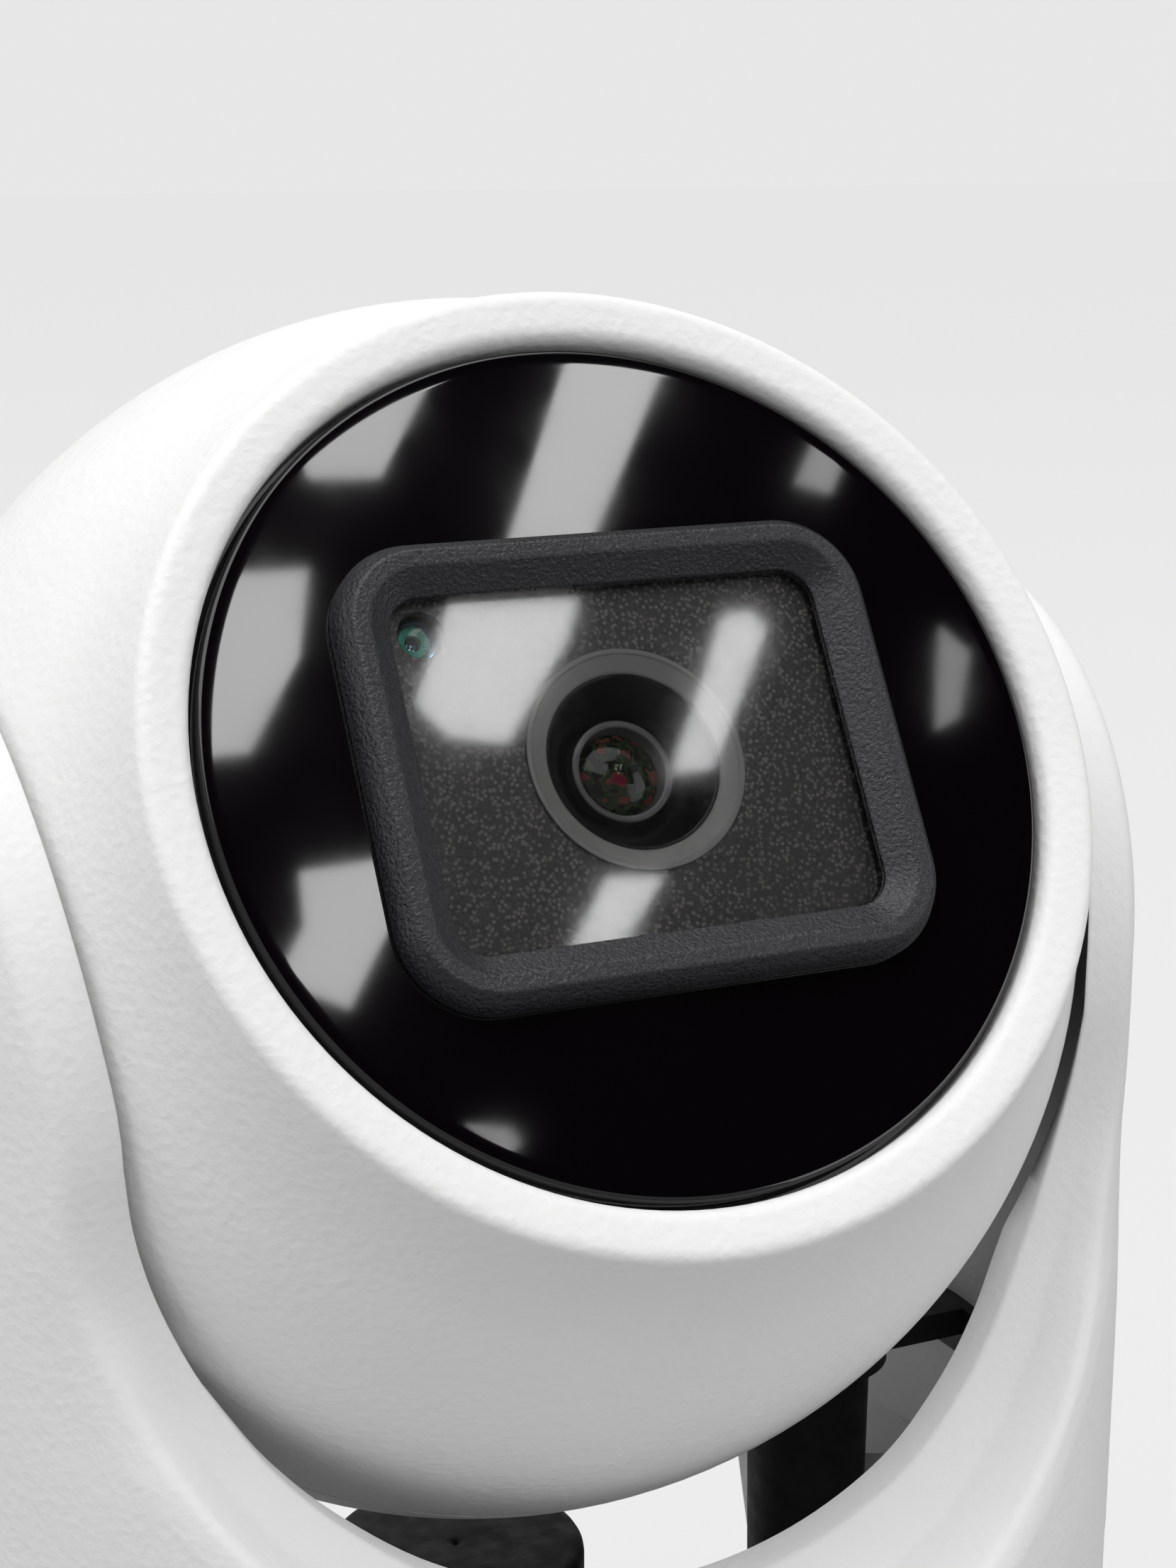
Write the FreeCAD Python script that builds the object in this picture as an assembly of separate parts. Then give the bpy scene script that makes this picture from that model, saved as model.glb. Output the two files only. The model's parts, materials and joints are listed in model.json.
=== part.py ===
import FreeCAD, Part
import math
import os

# Outdoor pan-tilt security camera: a ball head that tilts in a U-shaped yoke, which pans on a round base.
# Millimetres, +Z up, -Y to the front, +X to the right of the mounting face's centre (the origin).
# Parts of the head are drawn with the face towards -Y and the ball's centre at the origin, then tilted
# and lifted into place. Parts of the yoke are drawn about the ball's centre and lifted.

# Driving dimensions
BALL_R = 45.0                 # outer radius of the ball head
BALL_WALL = 2.6               # thickness of the ball's shells
BALL_Z = 107.0                # height of the ball's centre above the mounting face
HEAD_TILT = 31.7              # upward tilt of the face at rest, degrees
SEAM = 0.2                    # half of the joint line between the two shells
FLAT_X = 41.3                 # flat sides of the ball, where the arms hold it
BORE_R = 29.66                # opening for the glossy face
RIM_R = 33.3                  # outer radius of the flared rim
RIM_H = 35.0                  # how far the rim stands in front of the ball's centre
FACE_R = 29.2                 # glossy face disc
FACE_FRONT = 33.4
FACE_THICK = 2.4
WINDOW_X = 15.3               # half sizes of the window that shows inside the lens frame
WINDOW_Z = 12.1
WINDOW_AT = (-0.2, -0.2)      # centre of the lens frame on the face (x, z)
GLASS_FRONT = 34.2
GLASS_THICK = 1.3
PANEL_FRONT = 32.7
PANEL_THICK = 0.8
LENS_R = 3.55                 # nose of the lens barrel
LENS_FRONT = 30.3
YOKE_R = 49.0                 # outer radius of the yoke
YOKE_WALL = 3.3
YOKE_IN = YOKE_R - YOKE_WALL
ARM_R = 29.5                  # round top of each arm, seen from the side
ARM_Z = -5.0
YOKE_FLOOR = -84.5            # top of the yoke's floor below the ball's centre
YOKE_BOTTOM = -87.5
OPENING_R = 35.8              # round front opening of the yoke
OPENING_Z = -2.5
PIN_R = 6.0                   # pivot pins of the tilt axis
FIT = 0.05                    # radial running fit
BASE_R = 49.5
BASE_TOP = 19.0
BASE_WALL = 2.4
PLATE_TOP = 4.0
BOLT_PCD = 64.0               # mounting screws
BOLT_R = 2.25
HUB_R = 11.0
GEAR_MODULE = 1.0
PAN_TEETH = 54
PAN_PINION_TEETH = 12
TILT_TEETH = 26
TILT_PINION_TEETH = 10
SCREW_AT = 27.0               # shell screws, sideways
SCREW_UP = 23.0               # shell screws, up and down

X_AXIS = FreeCAD.Vector(1, 0, 0)
Y_AXIS = FreeCAD.Vector(0, 1, 0)
Z_AXIS = FreeCAD.Vector(0, 0, 1)
ORIGIN = FreeCAD.Vector(0, 0, 0)


def vec(x, y, z):
    return FreeCAD.Vector(x, y, z)


def block(x0, x1, y0, y1, z0, z1):
    return Part.makeBox(x1 - x0, y1 - y0, z1 - z0, vec(x0, y0, z0))


def rod_x(radius, x0, x1, y=0.0, z=0.0):
    return Part.makeCylinder(radius, x1 - x0, vec(x0, y, z), X_AXIS)


def rod_y(radius, y0, y1, x=0.0, z=0.0):
    return Part.makeCylinder(radius, y1 - y0, vec(x, y0, z), Y_AXIS)


def rod_z(radius, z0, z1, x=0.0, y=0.0):
    return Part.makeCylinder(radius, z1 - z0, vec(x, y, z0), Z_AXIS)


def ball(radius):
    return Part.makeSphere(radius, ORIGIN, Z_AXIS, -90, 90, 360)


def joined(shapes):
    whole = shapes[0]
    for shape in shapes[1:]:
        whole = whole.fuse(shape)
    return whole.removeSplitter()


def group(shapes):
    return Part.makeCompound(shapes)


def mirrored(shape):
    return shape.mirror(ORIGIN, X_AXIS)


def turned(edges, axis):
    face = Part.Face(Part.Wire(edges))
    return face.revolve(ORIGIN, axis, 360)


def line(a, b):
    return Part.LineSegment(a, b).toShape()


def arc(a, middle, b):
    return Part.Arc(a, middle, b).toShape()


def polygon(points):
    return Part.makePolygon(points + [points[0]])


def turned_polygon_y(pairs):
    """A solid turned about the face's normal from (radius, distance in front) pairs."""
    points = [vec(radius, -front, 0) for radius, front in pairs]
    return Part.Face(polygon(points)).revolve(ORIGIN, Y_AXIS, 360)


def rounded_wire(half_x, half_z, radius, front):
    """A rounded rectangle about the window's centre, at a distance in front of the ball's centre."""
    cx, cz = WINDOW_AT
    y = -front
    k = radius * (1 - math.sqrt(0.5))
    edges = []
    corners = [(1, 1), (-1, 1), (-1, -1), (1, -1)]
    for sx, sz in corners:
        x, z = cx + sx * half_x, cz + sz * half_z
        on_side = vec(x, y, z - sz * radius)
        on_top = vec(x - sx * radius, y, z)
        middle = vec(x - sx * k, y, z - sz * k)
        ends = (on_side, on_top) if sx == sz else (on_top, on_side)
        if edges:
            edges.append(line(edges[-1].lastVertex().Point, ends[0]))
        edges.append(arc(ends[0], middle, ends[1]))
    edges.append(line(edges[-1].lastVertex().Point, edges[0].firstVertex().Point))
    return Part.Wire(edges)


def rounded_slab(half_x, half_z, radius, back, front):
    face = Part.Face(rounded_wire(half_x, half_z, radius, back))
    return face.extrude(vec(0, back - front, 0))


def rounded_taper(rings):
    """A solid through rounded rectangles (half_x, half_z, corner radius, distance in front)."""
    wires = [rounded_wire(*ring) for ring in rings]
    return Part.makeLoft(wires, True, True)


def gear_z(teeth, z0, z1, bore, phase=0.0):
    """A spur gear about Z with slim teeth, so that it turns freely in its mate."""
    pitch = GEAR_MODULE * teeth / 2.0
    root = pitch - 1.15 * GEAR_MODULE
    tip = pitch + 0.75 * GEAR_MODULE
    step = 2 * math.pi / teeth
    points = []
    for tooth in range(teeth):
        middle = phase + tooth * step
        for radius, offset in ((root, -0.26), (tip, -0.10), (tip, 0.10), (root, 0.26)):
            angle = middle + offset * step
            points.append(vec(radius * math.cos(angle), radius * math.sin(angle), z0))
    body = Part.Face(polygon(points)).extrude(vec(0, 0, z1 - z0))
    return body.cut(rod_z(bore, z0 - 1, z1 + 1))


def along_x(shape):
    """Turns a shape drawn along Z so that it lies along X."""
    shape.rotate(ORIGIN, Y_AXIS, 90)
    return shape


def on_sphere(shape, angle):
    """Turns a head part drawn at the back of the ball down by an angle."""
    shape.rotate(ORIGIN, X_AXIS, -angle)
    return shape


def in_head(shape):
    shape.rotate(ORIGIN, X_AXIS, -HEAD_TILT)
    shape.translate(vec(0, 0, BALL_Z))
    return shape


def in_yoke(shape):
    shape.translate(vec(0, 0, BALL_Z))
    return shape


def save(name, shape):
    shape.exportStep("parts/" + name + ".step")


# Head

CARD_ANGLE = 30.0             # card plug, below the back of the ball
BUTTON_ANGLE = 52.0           # reset button, below the back of the ball
CARD_HALF = (9.0, 4.0)
CARD_DEPTH = 3.4
BUTTON_R = 1.7
MOTOR_AT = (14.0, -11.314)    # axis of the tilt motor (y, z), one centre distance from the tilt axis
MESH_ANGLE = math.degrees(math.atan2(MOTOR_AT[0], -MOTOR_AT[1]))
SPEAKER_Z = 9.0
TILT_GEAR_X = (31.4, 34.8)    # where the tilt gear and its pinion lie


def side_slabs(x0, x1):
    right = block(x0, x1, -50, 50, -50, 50)
    return right.fuse(mirrored(right))


def ball_outline():
    """The ball with its flared rim, solid and without flat sides."""
    flare = (37.4, math.sqrt(BALL_R ** 2 - 37.4 ** 2))
    half = math.radians(20)
    edges = [
        line(vec(0, BALL_R, 0), vec(0, -RIM_H, 0)),
        line(vec(0, -RIM_H, 0), vec(RIM_R - 1.0, -RIM_H, 0)),
        arc(vec(RIM_R - 1.0, -RIM_H, 0), vec(RIM_R - 0.28, 0.3 - RIM_H, 0), vec(RIM_R, 0.95 - RIM_H, 0)),
        arc(vec(RIM_R, 0.95 - RIM_H, 0), vec(34.95, -29.2, 0), vec(flare[0], -flare[1], 0)),
        arc(vec(flare[0], -flare[1], 0), vec(BALL_R * math.cos(half), BALL_R * math.sin(half), 0),
            vec(0, BALL_R, 0)),
    ]
    return turned(edges, Y_AXIS)


def face_opening():
    """What the front shell's opening takes away: a bore with a rounded lip over a ledge."""
    return turned_polygon_y([
        (0, 28.8), (27.5, 28.8), (27.5, 30.6), (BORE_R, 30.6), (BORE_R, 33.7),
        (BORE_R + 0.2, 34.15), (BORE_R + 0.7, 34.5), (RIM_R - 1.0, 34.9), (RIM_R, 36), (0, 36),
    ])


def pivot_hole():
    return rod_x(7.6, -46, 46)


def shell_cavity():
    return ball(BALL_R - BALL_WALL).cut(side_slabs(FLAT_X - BALL_WALL, 60))


def screw_places():
    return [(x, z) for x in (-SCREW_AT, SCREW_AT) for z in (-SCREW_UP, SCREW_UP)]


def bosses(y0, y1):
    posts = group([rod_y(3.4, y0, y1, x, z) for x, z in screw_places()])
    return posts.common(ball(BALL_R - 1.0))


def front_shell():
    body = ball_outline().cut(side_slabs(FLAT_X, 60))
    body = body.cut(shell_cavity().common(block(-60, 60, -28.8, 60, -60, 60)))
    body = body.cut(face_opening())
    body = body.cut(block(-60, 60, -SEAM, 60, -60, 60))
    body = body.fuse(bosses(-20, -SEAM)).removeSplitter()
    body = body.cut(group([rod_y(1.3, -10, 0, x, z) for x, z in screw_places()]))
    return body.cut(pivot_hole())


def card_slot(grow=0.0):
    half_x, half_z = CARD_HALF
    return on_sphere(block(-half_x - grow, half_x + grow, 38, 50, -half_z - grow, half_z + grow), CARD_ANGLE)


def speaker_holes():
    holes = [rod_y(0.8, 38, 50, 0, SPEAKER_Z)]
    for ring, count in ((4.0, 8), (8.0, 14)):
        for k in range(count):
            angle = 2 * math.pi * k / count
            holes.append(rod_y(0.8, 34, 50, ring * math.cos(angle), SPEAKER_Z + ring * math.sin(angle)))
    return group(holes)


def rear_shell():
    body = ball(BALL_R).cut(side_slabs(FLAT_X, 60))
    body = body.cut(shell_cavity())
    body = body.cut(block(-60, 60, -60, SEAM, -60, 60))
    collar = rod_y(13.4, 30.5, 42, 0, SPEAKER_Z).cut(rod_y(12.05, 20, 50, 0, SPEAKER_Z))
    body = body.fuse(bosses(SEAM, 40)).fuse(collar.common(ball(BALL_R - 1.0))).removeSplitter()
    body = body.cut(group([rod_y(1.35, 0, 40, x, z) for x, z in screw_places()]))
    body = body.cut(group([rod_y(3.0, 20, 50, x, z) for x, z in screw_places()]))
    body = body.cut(card_slot(0.15))
    body = body.cut(speaker_holes())
    body = body.cut(on_sphere(rod_y(BUTTON_R + 0.1, 38, 50), BUTTON_ANGLE))
    return body.cut(pivot_hole())


def shell_seal():
    ring = rod_y(44.4, -SEAM, SEAM).cut(rod_y(43.0, -1, 1))
    ring = ring.cut(side_slabs(FLAT_X - 0.4, 60))
    return group(ring.Solids)


def face_disc():
    back = FACE_FRONT - FACE_THICK
    disc = turned_polygon_y([
        (0, back), (FACE_R - 0.3, back), (FACE_R, back + 0.3), (FACE_R, FACE_FRONT - 0.9),
        (FACE_R - 0.26, FACE_FRONT - 0.26), (FACE_R - 0.9, FACE_FRONT), (0, FACE_FRONT),
    ])
    return disc.cut(rounded_slab(18.5, 15.1, 5.6, back - 1, FACE_FRONT + 1))


def face_gasket():
    return rod_y(29.4, -31.0, -30.6).cut(rod_y(27.7, -32, -30))


def lens_frame():
    outer = rounded_taper([(19.0, 15.6, 6.0, FACE_FRONT), (18.6, 15.2, 5.6, 35.1), (18.1, 14.7, 5.2, 35.7)])
    skirt = rounded_slab(18.4, 15.0, 5.5, 30.8, FACE_FRONT)
    mouth = rounded_taper([(WINDOW_X, WINDOW_Z, 2.9, 34.45), (17.1, 13.9, 4.6, 35.6), (17.3, 14.1, 4.7, 36.2)])
    throat = rounded_slab(WINDOW_X, WINDOW_Z, 2.9, 34.0, 34.5)
    pocket = rounded_slab(WINDOW_X + 0.7, WINDOW_Z + 0.7, 3.5, 30.0, GLASS_FRONT)
    return outer.fuse(skirt).removeSplitter().cut(mouth).cut(throat).cut(pocket)


def window_glass():
    return rounded_slab(WINDOW_X + 0.6, WINDOW_Z + 0.6, 3.4, GLASS_FRONT - GLASS_THICK, GLASS_FRONT)


SENSOR_AT = (-13.0, 9.5)      # light sensor in the window's corner


def lens_panel():
    slab = rounded_slab(WINDOW_X + 0.6, WINDOW_Z + 0.6, 3.4, PANEL_FRONT - PANEL_THICK, PANEL_FRONT)
    cx, cz = WINDOW_AT
    slab = slab.cut(rod_y(7.4, -40, -20, cx, cz))
    return slab.cut(rod_y(1.6, -40, -20, SENSOR_AT[0], SENSOR_AT[1]))


def about_lens(shape):
    shape.translate(vec(WINDOW_AT[0], 0, WINDOW_AT[1]))
    return shape


def lens_ring():
    back = PANEL_FRONT - PANEL_THICK
    return about_lens(turned_polygon_y([
        (6.05, back), (7.4, back), (7.4, PANEL_FRONT), (7.6, PANEL_FRONT), (7.6, 32.88),
        (7.3, 32.88), (6.05, 32.4),
    ]))


def lens_hood():
    return about_lens(turned_polygon_y([
        (6.05, 31.9), (6.05, 32.3), (5.85, 32.3), (3.75, 29.7), (3.75, 28.0), (4.6, 28.0), (4.6, 29.4),
        (5.6, 30.9), (5.6, 31.9),
    ]))


def lens_barrel():
    return about_lens(turned_polygon_y([
        (0, 17.0), (5.9, 17.0), (5.9, 26.6), (LENS_R, 27.4), (LENS_R, LENS_FRONT), (3.0, LENS_FRONT),
        (2.9, 29.3), (0, 29.3),
    ]))


def lens_glass():
    cap_r = 5.0
    ring = 2.85
    sag = cap_r - math.sqrt(cap_r ** 2 - ring ** 2)
    centre = 29.3 + 0.95 - cap_r
    half = math.asin(ring / cap_r) / 2
    edges = [
        line(vec(0, -29.3, 0), vec(ring, -29.3, 0)),
        line(vec(ring, -29.3, 0), vec(ring, sag - 30.25, 0)),
        arc(vec(ring, sag - 30.25, 0), vec(cap_r * math.sin(half), -centre - cap_r * math.cos(half), 0),
            vec(0, -30.25, 0)),
        line(vec(0, -30.25, 0), vec(0, -29.3, 0)),
    ]
    return about_lens(turned(edges, Y_AXIS))


def lens_holder():
    cx, cz = WINDOW_AT
    body = block(cx - 9, cx + 9, -25.5, -15.6, cz - 9, cz + 9)
    ears = block(cx - 13, cx + 13, -17.6, -15.6, cz - 4, cz + 4)
    body = body.fuse(ears).removeSplitter()
    body = body.cut(rod_y(6.0, -40, -17.0, cx, cz))
    return body.cut(block(cx - 4.5, cx + 4.5, -17.1, -15, cz - 4, cz + 4))


def sensor_board():
    cx, cz = WINDOW_AT
    board = block(cx - 15, cx + 15, -15.6, -14.2, cz - 12, cz + 12)
    chip = block(cx - 4, cx + 4, -16.9, -15.6, cz - 3.5, cz + 3.5)
    return group([board, chip])


def light_sensor():
    x, z = SENSOR_AT
    dome = Part.makeSphere(1.4, vec(x, -31.3, z))
    dome = dome.common(block(x - 3, x + 3, -40, -31.3, z - 3, z + 3))
    return dome.fuse(rod_y(1.4, -31.3, -30.9, x, z)).removeSplitter()


LED_PLACES = [(0, 22.0), (0, -22.0), (11.5, 19.5), (-11.5, 19.5), (11.5, -19.5), (-11.5, -19.5),
              (22.5, 4.5), (-22.5, 4.5), (22.5, -4.5), (-22.5, -4.5)]


def led_board():
    board = rod_y(27.2, -30.0, -28.8)
    board = board.cut(rounded_slab(18.7, 15.3, 5.6, 28, 31))
    return board


def leds():
    packages = []
    for x, z in LED_PLACES:
        body = block(x - 1.7, x + 1.7, -30.5, -30.0, z - 1.7, z + 1.7)
        packages.append(body.fuse(rod_y(1.3, -30.8, -30.5, x, z)).removeSplitter())
    return group(packages)


def chassis():
    plate = rod_y(30.6, -28.8, -27.0)
    plate = plate.cut(block(-10, 10, -30, -20, -10, 10))
    for side in (-1, 1):
        for up in (-1, 1):
            plate = plate.fuse(rod_y(2.4, -27.0, -8.6, 19.0 * side, 14.0 * up))
            plate = plate.fuse(rod_y(1.6, -27.0, -15.6, 12.2 * side, 9.4 * up + WINDOW_AT[1]))
    return plate.removeSplitter()


def main_board():
    board = block(-22.5, 22.5, -8.6, -7.0, -26, 26)
    chips = [
        block(-8, 8, -9.8, -8.6, -8, 8),
        block(12, 21, -9.6, -8.6, -6, 6),
        block(-21, -13, -9.4, -8.6, 18, 24),
        block(-6, 8, -7.0, -3.5, -24, -19),
        block(-20, -10, -7.0, -4.5, -22, -14),
    ]
    return group([board] + chips)


def heat_sink():
    plate = block(-11, 11, -11.4, -9.8, -11, 11)
    fins = [block(-11 + 4.2 * k, -9.8 + 4.2 * k, -13.6, -11.4, -11, 11) for k in range(6)]
    return joined([plate] + fins)


def speaker():
    body = turned_polygon_y([(0, -28), (9, -28), (9, -31), (12, -31), (12, -33.2), (10.5, -33.2),
                             (7, -32.2), (0, -32.8)])
    body.translate(vec(0, 0, 9))
    return body


def microphone():
    return rod_y(2.2, -26.7, -24.6, 0, -24)


def tilt_motor():
    y, z = MOTOR_AT
    can = rod_x(7.8, 14.0, 30.0, y, z)
    lugs = block(28.8, 30.0, y - 11, y + 11, z - 3, z + 3)
    shaft = rod_x(1.15, 30.0, 35.0, y, z)
    return joined([can, lugs, shaft])


def tilt_pinion():
    gap_at = MESH_ANGLE + 180.0 - 180.0 / TILT_PINION_TEETH
    gear = along_x(gear_z(TILT_PINION_TEETH, *TILT_GEAR_X, 1.2, math.radians(gap_at)))
    gear.translate(vec(0, *MOTOR_AT))
    return gear


def tilt_bush():
    ring = rod_x(7.5, FLAT_X - BALL_WALL, FLAT_X).cut(rod_x(PIN_R + FIT, 30, 50))
    lip = rod_x(9.5, FLAT_X - BALL_WALL - 1.4, FLAT_X - BALL_WALL).cut(rod_x(PIN_R + FIT, 30, 50))
    return ring.fuse(lip).removeSplitter()


def card_plug():
    half_x, half_z = CARD_HALF
    plug = block(-half_x, half_x, 39, 50, -half_z, half_z)
    plug = plug.common(ball(BALL_R - 0.1)).cut(ball(BALL_R - CARD_DEPTH))
    tongue = block(-6.2, 6.2, 37.5, 42.5, -1.6, 1.6)
    recess = rod_x(1.2, -4, 4, 44.9, -half_z + 1.2)
    return on_sphere(plug.fuse(tongue).removeSplitter().cut(recess), CARD_ANGLE)


def memory_card():
    return on_sphere(block(-5.5, 5.5, 22.0, 36.8, -0.5, 0.5), CARD_ANGLE)


def card_socket():
    cage = block(-7.0, 7.0, 20.5, 34.0, -1.4, 1.4)
    slot = block(-5.6, 5.6, 21.9, 36, -0.6, 0.6)
    board = block(-9.0, 9.0, 19.0, 34.5, -2.8, -1.4)
    return on_sphere(cage.cut(slot).fuse(board).removeSplitter(), CARD_ANGLE)


def reset_button():
    stem = rod_y(BUTTON_R, 40.0, 44.4)
    stem = stem.fuse(rod_y(BUTTON_R + 1.0, 39.4, 40.4)).removeSplitter()
    return on_sphere(stem, BUTTON_ANGLE)


def head_screws():
    screws = []
    for x, z in screw_places():
        head = rod_y(2.7, 20.0, 21.8, x, z)
        socket = rod_y(1.1, 21.0, 23, x, z)
        shank = rod_y(1.3, -8.0, 20.0, x, z)
        screws.append(head.cut(socket).fuse(shank).removeSplitter())
    return group(screws)


# Yoke

BEZEL = 3.2                   # depth of the ledge round the front opening
LEDGE_SLOPE = 0.5             # how much the ledge leans forwards going down


def side_outline():
    """Outline of the yoke in the side view: round-topped arms over a full round front."""
    top = ARM_Z + ARM_R
    edges = [
        arc(vec(0, ARM_R, ARM_Z), vec(0, 0, top), vec(0, -ARM_R, ARM_Z)),
        line(vec(0, -ARM_R, ARM_Z), vec(0, -29.0, -13.0)),
        arc(vec(0, -29.0, -13.0), vec(0, -29.7, -16.0), vec(0, -31.0, -18.9)),
        line(vec(0, -31.0, -18.9), vec(0, -49.6, -47.5)),
        line(vec(0, -49.6, -47.5), vec(0, -49.6, YOKE_BOTTOM)),
        line(vec(0, -49.6, YOKE_BOTTOM), vec(0, 49.6, YOKE_BOTTOM)),
        line(vec(0, 49.6, YOKE_BOTTOM), vec(0, 49.6, YOKE_FLOOR)),
        line(vec(0, 49.6, YOKE_FLOOR), vec(0, 29.0, YOKE_FLOOR)),
        arc(vec(0, 29.0, YOKE_FLOOR), vec(0, 26.2, -81.5), vec(0, 25.5, -77.5)),
        arc(vec(0, 25.5, -77.5), vec(0, 28.6, -48.0), vec(0, ARM_R, ARM_Z)),
    ]
    return Part.Wire(edges)


def ledge_edges(back, bottom):
    """Front of the ledge round the opening, in the side view, moved back by a depth."""
    return [
        line(vec(0, -ARM_R + back, 0), vec(0, -29.0 + back, -13.0)),
        arc(vec(0, -29.0 + back, -13.0), vec(0, -29.8 + back, -19.5), vec(0, -32.0 + back, -25.5)),
        line(vec(0, -32.0 + back, -25.5), vec(0, -32.0 + back - LEDGE_SLOPE * (-25.5 - bottom), bottom)),
    ]


def recess():
    """The funnel cut into the front, down to the ledge."""
    solid = Part.makeCone(37.3, 42.8, 25.0, vec(0, -27.0, OPENING_Z), vec(0, -1, 0))
    edges = ledge_edges(0, -60.0)
    end = edges[-1].lastVertex().Point
    edges.append(line(end, vec(0, 60, -60)))
    edges.append(line(vec(0, 60, -60), vec(0, 60, 0)))
    edges.append(line(vec(0, 60, 0), vec(0, -ARM_R, 0)))
    return solid.common(block(-60, 60, -60, 0, -60, 0)).cut(across(Part.Wire(edges), 60))


def inner_outline():
    """The cavity's outline in the side view: behind the ledge, open at the back."""
    edges = ledge_edges(BEZEL, -43.0)
    start = edges[-1].lastVertex().Point
    edges += [
        line(start, vec(0, -47.0, -46.5)),
        line(vec(0, -47.0, -46.5), vec(0, -47.0, YOKE_FLOOR)),
        line(vec(0, -47.0, YOKE_FLOOR), vec(0, 60, YOKE_FLOOR)),
        line(vec(0, 60, YOKE_FLOOR), vec(0, 60, 0)),
        line(vec(0, 60, 0), vec(0, -ARM_R + BEZEL, 0)),
    ]
    return Part.Wire(edges)


def across(wire, half):
    face = Part.Face(wire)
    face.translate(vec(-half, 0, 0))
    return face.extrude(vec(2 * half, 0, 0))


def round_body(radius, z0):
    """A vertical cylinder closed above the ball's centre by a sphere of the same radius."""
    return rod_z(radius, z0, 0).fuse(ball(radius).common(block(-60, 60, -60, 60, 0, 60))).removeSplitter()


def arm_foot():
    """A thick foot inside the right arm that stiffens it and carries the harness channel."""
    corners = [(35.5, 5.7), (48.0, -0.1), (47.0, 18.0), (36.5, 18.0)]
    points = [vec(x, y, YOKE_FLOOR) for x, y in corners]
    foot = Part.Face(polygon(points)).extrude(vec(0, 0, 28.2))
    return foot.common(rod_z(YOKE_IN + 0.5, -90, -50))


def yoke_shell():
    body = across(side_outline(), 60).common(round_body(YOKE_R, YOKE_BOTTOM))
    hollow = across(inner_outline(), 60).common(rod_z(YOKE_IN, YOKE_FLOOR, 0))
    body = body.cut(hollow)
    body = body.cut(ball(YOKE_IN))
    body = body.cut(recess())
    body = body.cut(rod_y(OPENING_R, -60, -10, 0, OPENING_Z))
    foot = arm_foot()
    body = body.fuse(foot).fuse(mirrored(foot)).removeSplitter()
    body = body.cut(rod_x(PIN_R + 0.3, -60, 60))
    body = body.cut(rod_x(11.3, 46.9, 60)).cut(rod_x(11.3, -60, -46.9))
    body = body.cut(rod_z(6.5, -90, -80))
    return body.cut(group([rod_z(1.6, -90, -80, *place) for place in hub_screw_places()]))


def arm_cover():
    """Inner cover of the right arm, between the arm's wall and the flat side of the ball."""
    disc = rod_x(16.3, FLAT_X + 0.6, 47).common(ball(YOKE_IN))
    return disc.cut(rod_x(PIN_R + 0.02, 40, 50))


def pivot_pin():
    pin = rod_x(PIN_R, 33.0, 46.9)
    pin = pin.fuse(rod_x(8.5, 46.9, 48.0)).removeSplitter()
    return pin.cut(rod_x(4.2, 20, 50))


def pivot_cap():
    cap = rod_x(11.0, 48.0, 60).common(rod_z(YOKE_R + 0.5, -20, 20))
    rim = rod_x(11.0, 46.9, 48.0).cut(rod_x(9.0, 40, 60)).common(rod_z(YOKE_R + 0.5, -20, 20))
    return cap.fuse(rim).removeSplitter()


def tilt_gear():
    tooth_at = math.radians(MESH_ANGLE - HEAD_TILT)
    gear = along_x(gear_z(TILT_TEETH, *TILT_GEAR_X, 4.2, tooth_at))
    return gear.cut(rod_x(PIN_R, 33.0, 40))


BOOT_AT = (0.0, 5.6)
ANTENNA_AT = (30.8, 1.75)
ANTENNA_R = 5.2


def harness_boot():
    x, y = BOOT_AT
    boot = rod_z(10.6, YOKE_FLOOR, -56.4, x, y)
    top = [edge for edge in boot.Edges if edge.BoundBox.ZMin > -57]
    boot = boot.makeFillet(1.4, top).cut(rod_z(5.0, -90, -62, x, y))
    return boot.cut(rod_z(8.8, -90, YOKE_FLOOR + 1.8, x, y))


def antenna():
    x, y = ANTENNA_AT
    body = Part.makeCone(4.75, ANTENNA_R, 34.0, vec(x, y, -75.4), Z_AXIS)
    tip = [edge for edge in body.Edges if edge.BoundBox.ZMax < -75]
    return body.makeFillet(1.8, tip)


def antenna_clip():
    x, y = ANTENNA_AT
    band = rod_z(YOKE_IN, -46.0, -41.6).cut(rod_z(YOKE_IN - 1.2, -50, -40))
    band = band.common(block(30, 50, -13, 14, -50, -40))
    arm = block(x, 45, y - 2.5, y + 2.5, -44.0, -41.6).common(rod_z(YOKE_IN, -50, -40))
    collar = rod_z(6.6, -44.0, -41.6, x, y)
    clip = joined([band, arm, collar])
    return clip.cut(Part.makeCone(4.75, ANTENNA_R, 34.0, vec(x, y, -75.4), Z_AXIS))


def hub_screw_places():
    return [(8.6 * math.cos(a), 8.6 * math.sin(a)) for a in
            (math.radians(225 + 90 * k) for k in range(4))]


HUB_FOOT = 7.0 - BALL_Z       # bottom of the hub
HUB_GEAR = (7.0 - BALL_Z, 10.0 - BALL_Z)


def pan_hub():
    tube = rod_z(HUB_R, HUB_FOOT, YOKE_BOTTOM).cut(rod_z(6.5, HUB_FOOT - 1, -80))
    return tube.cut(group([rod_z(1.2, YOKE_BOTTOM - 9, -80, *place) for place in hub_screw_places()]))


def pan_gear():
    z0, z1 = HUB_GEAR
    return gear_z(PAN_TEETH, z0, z1, HUB_R)


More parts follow.
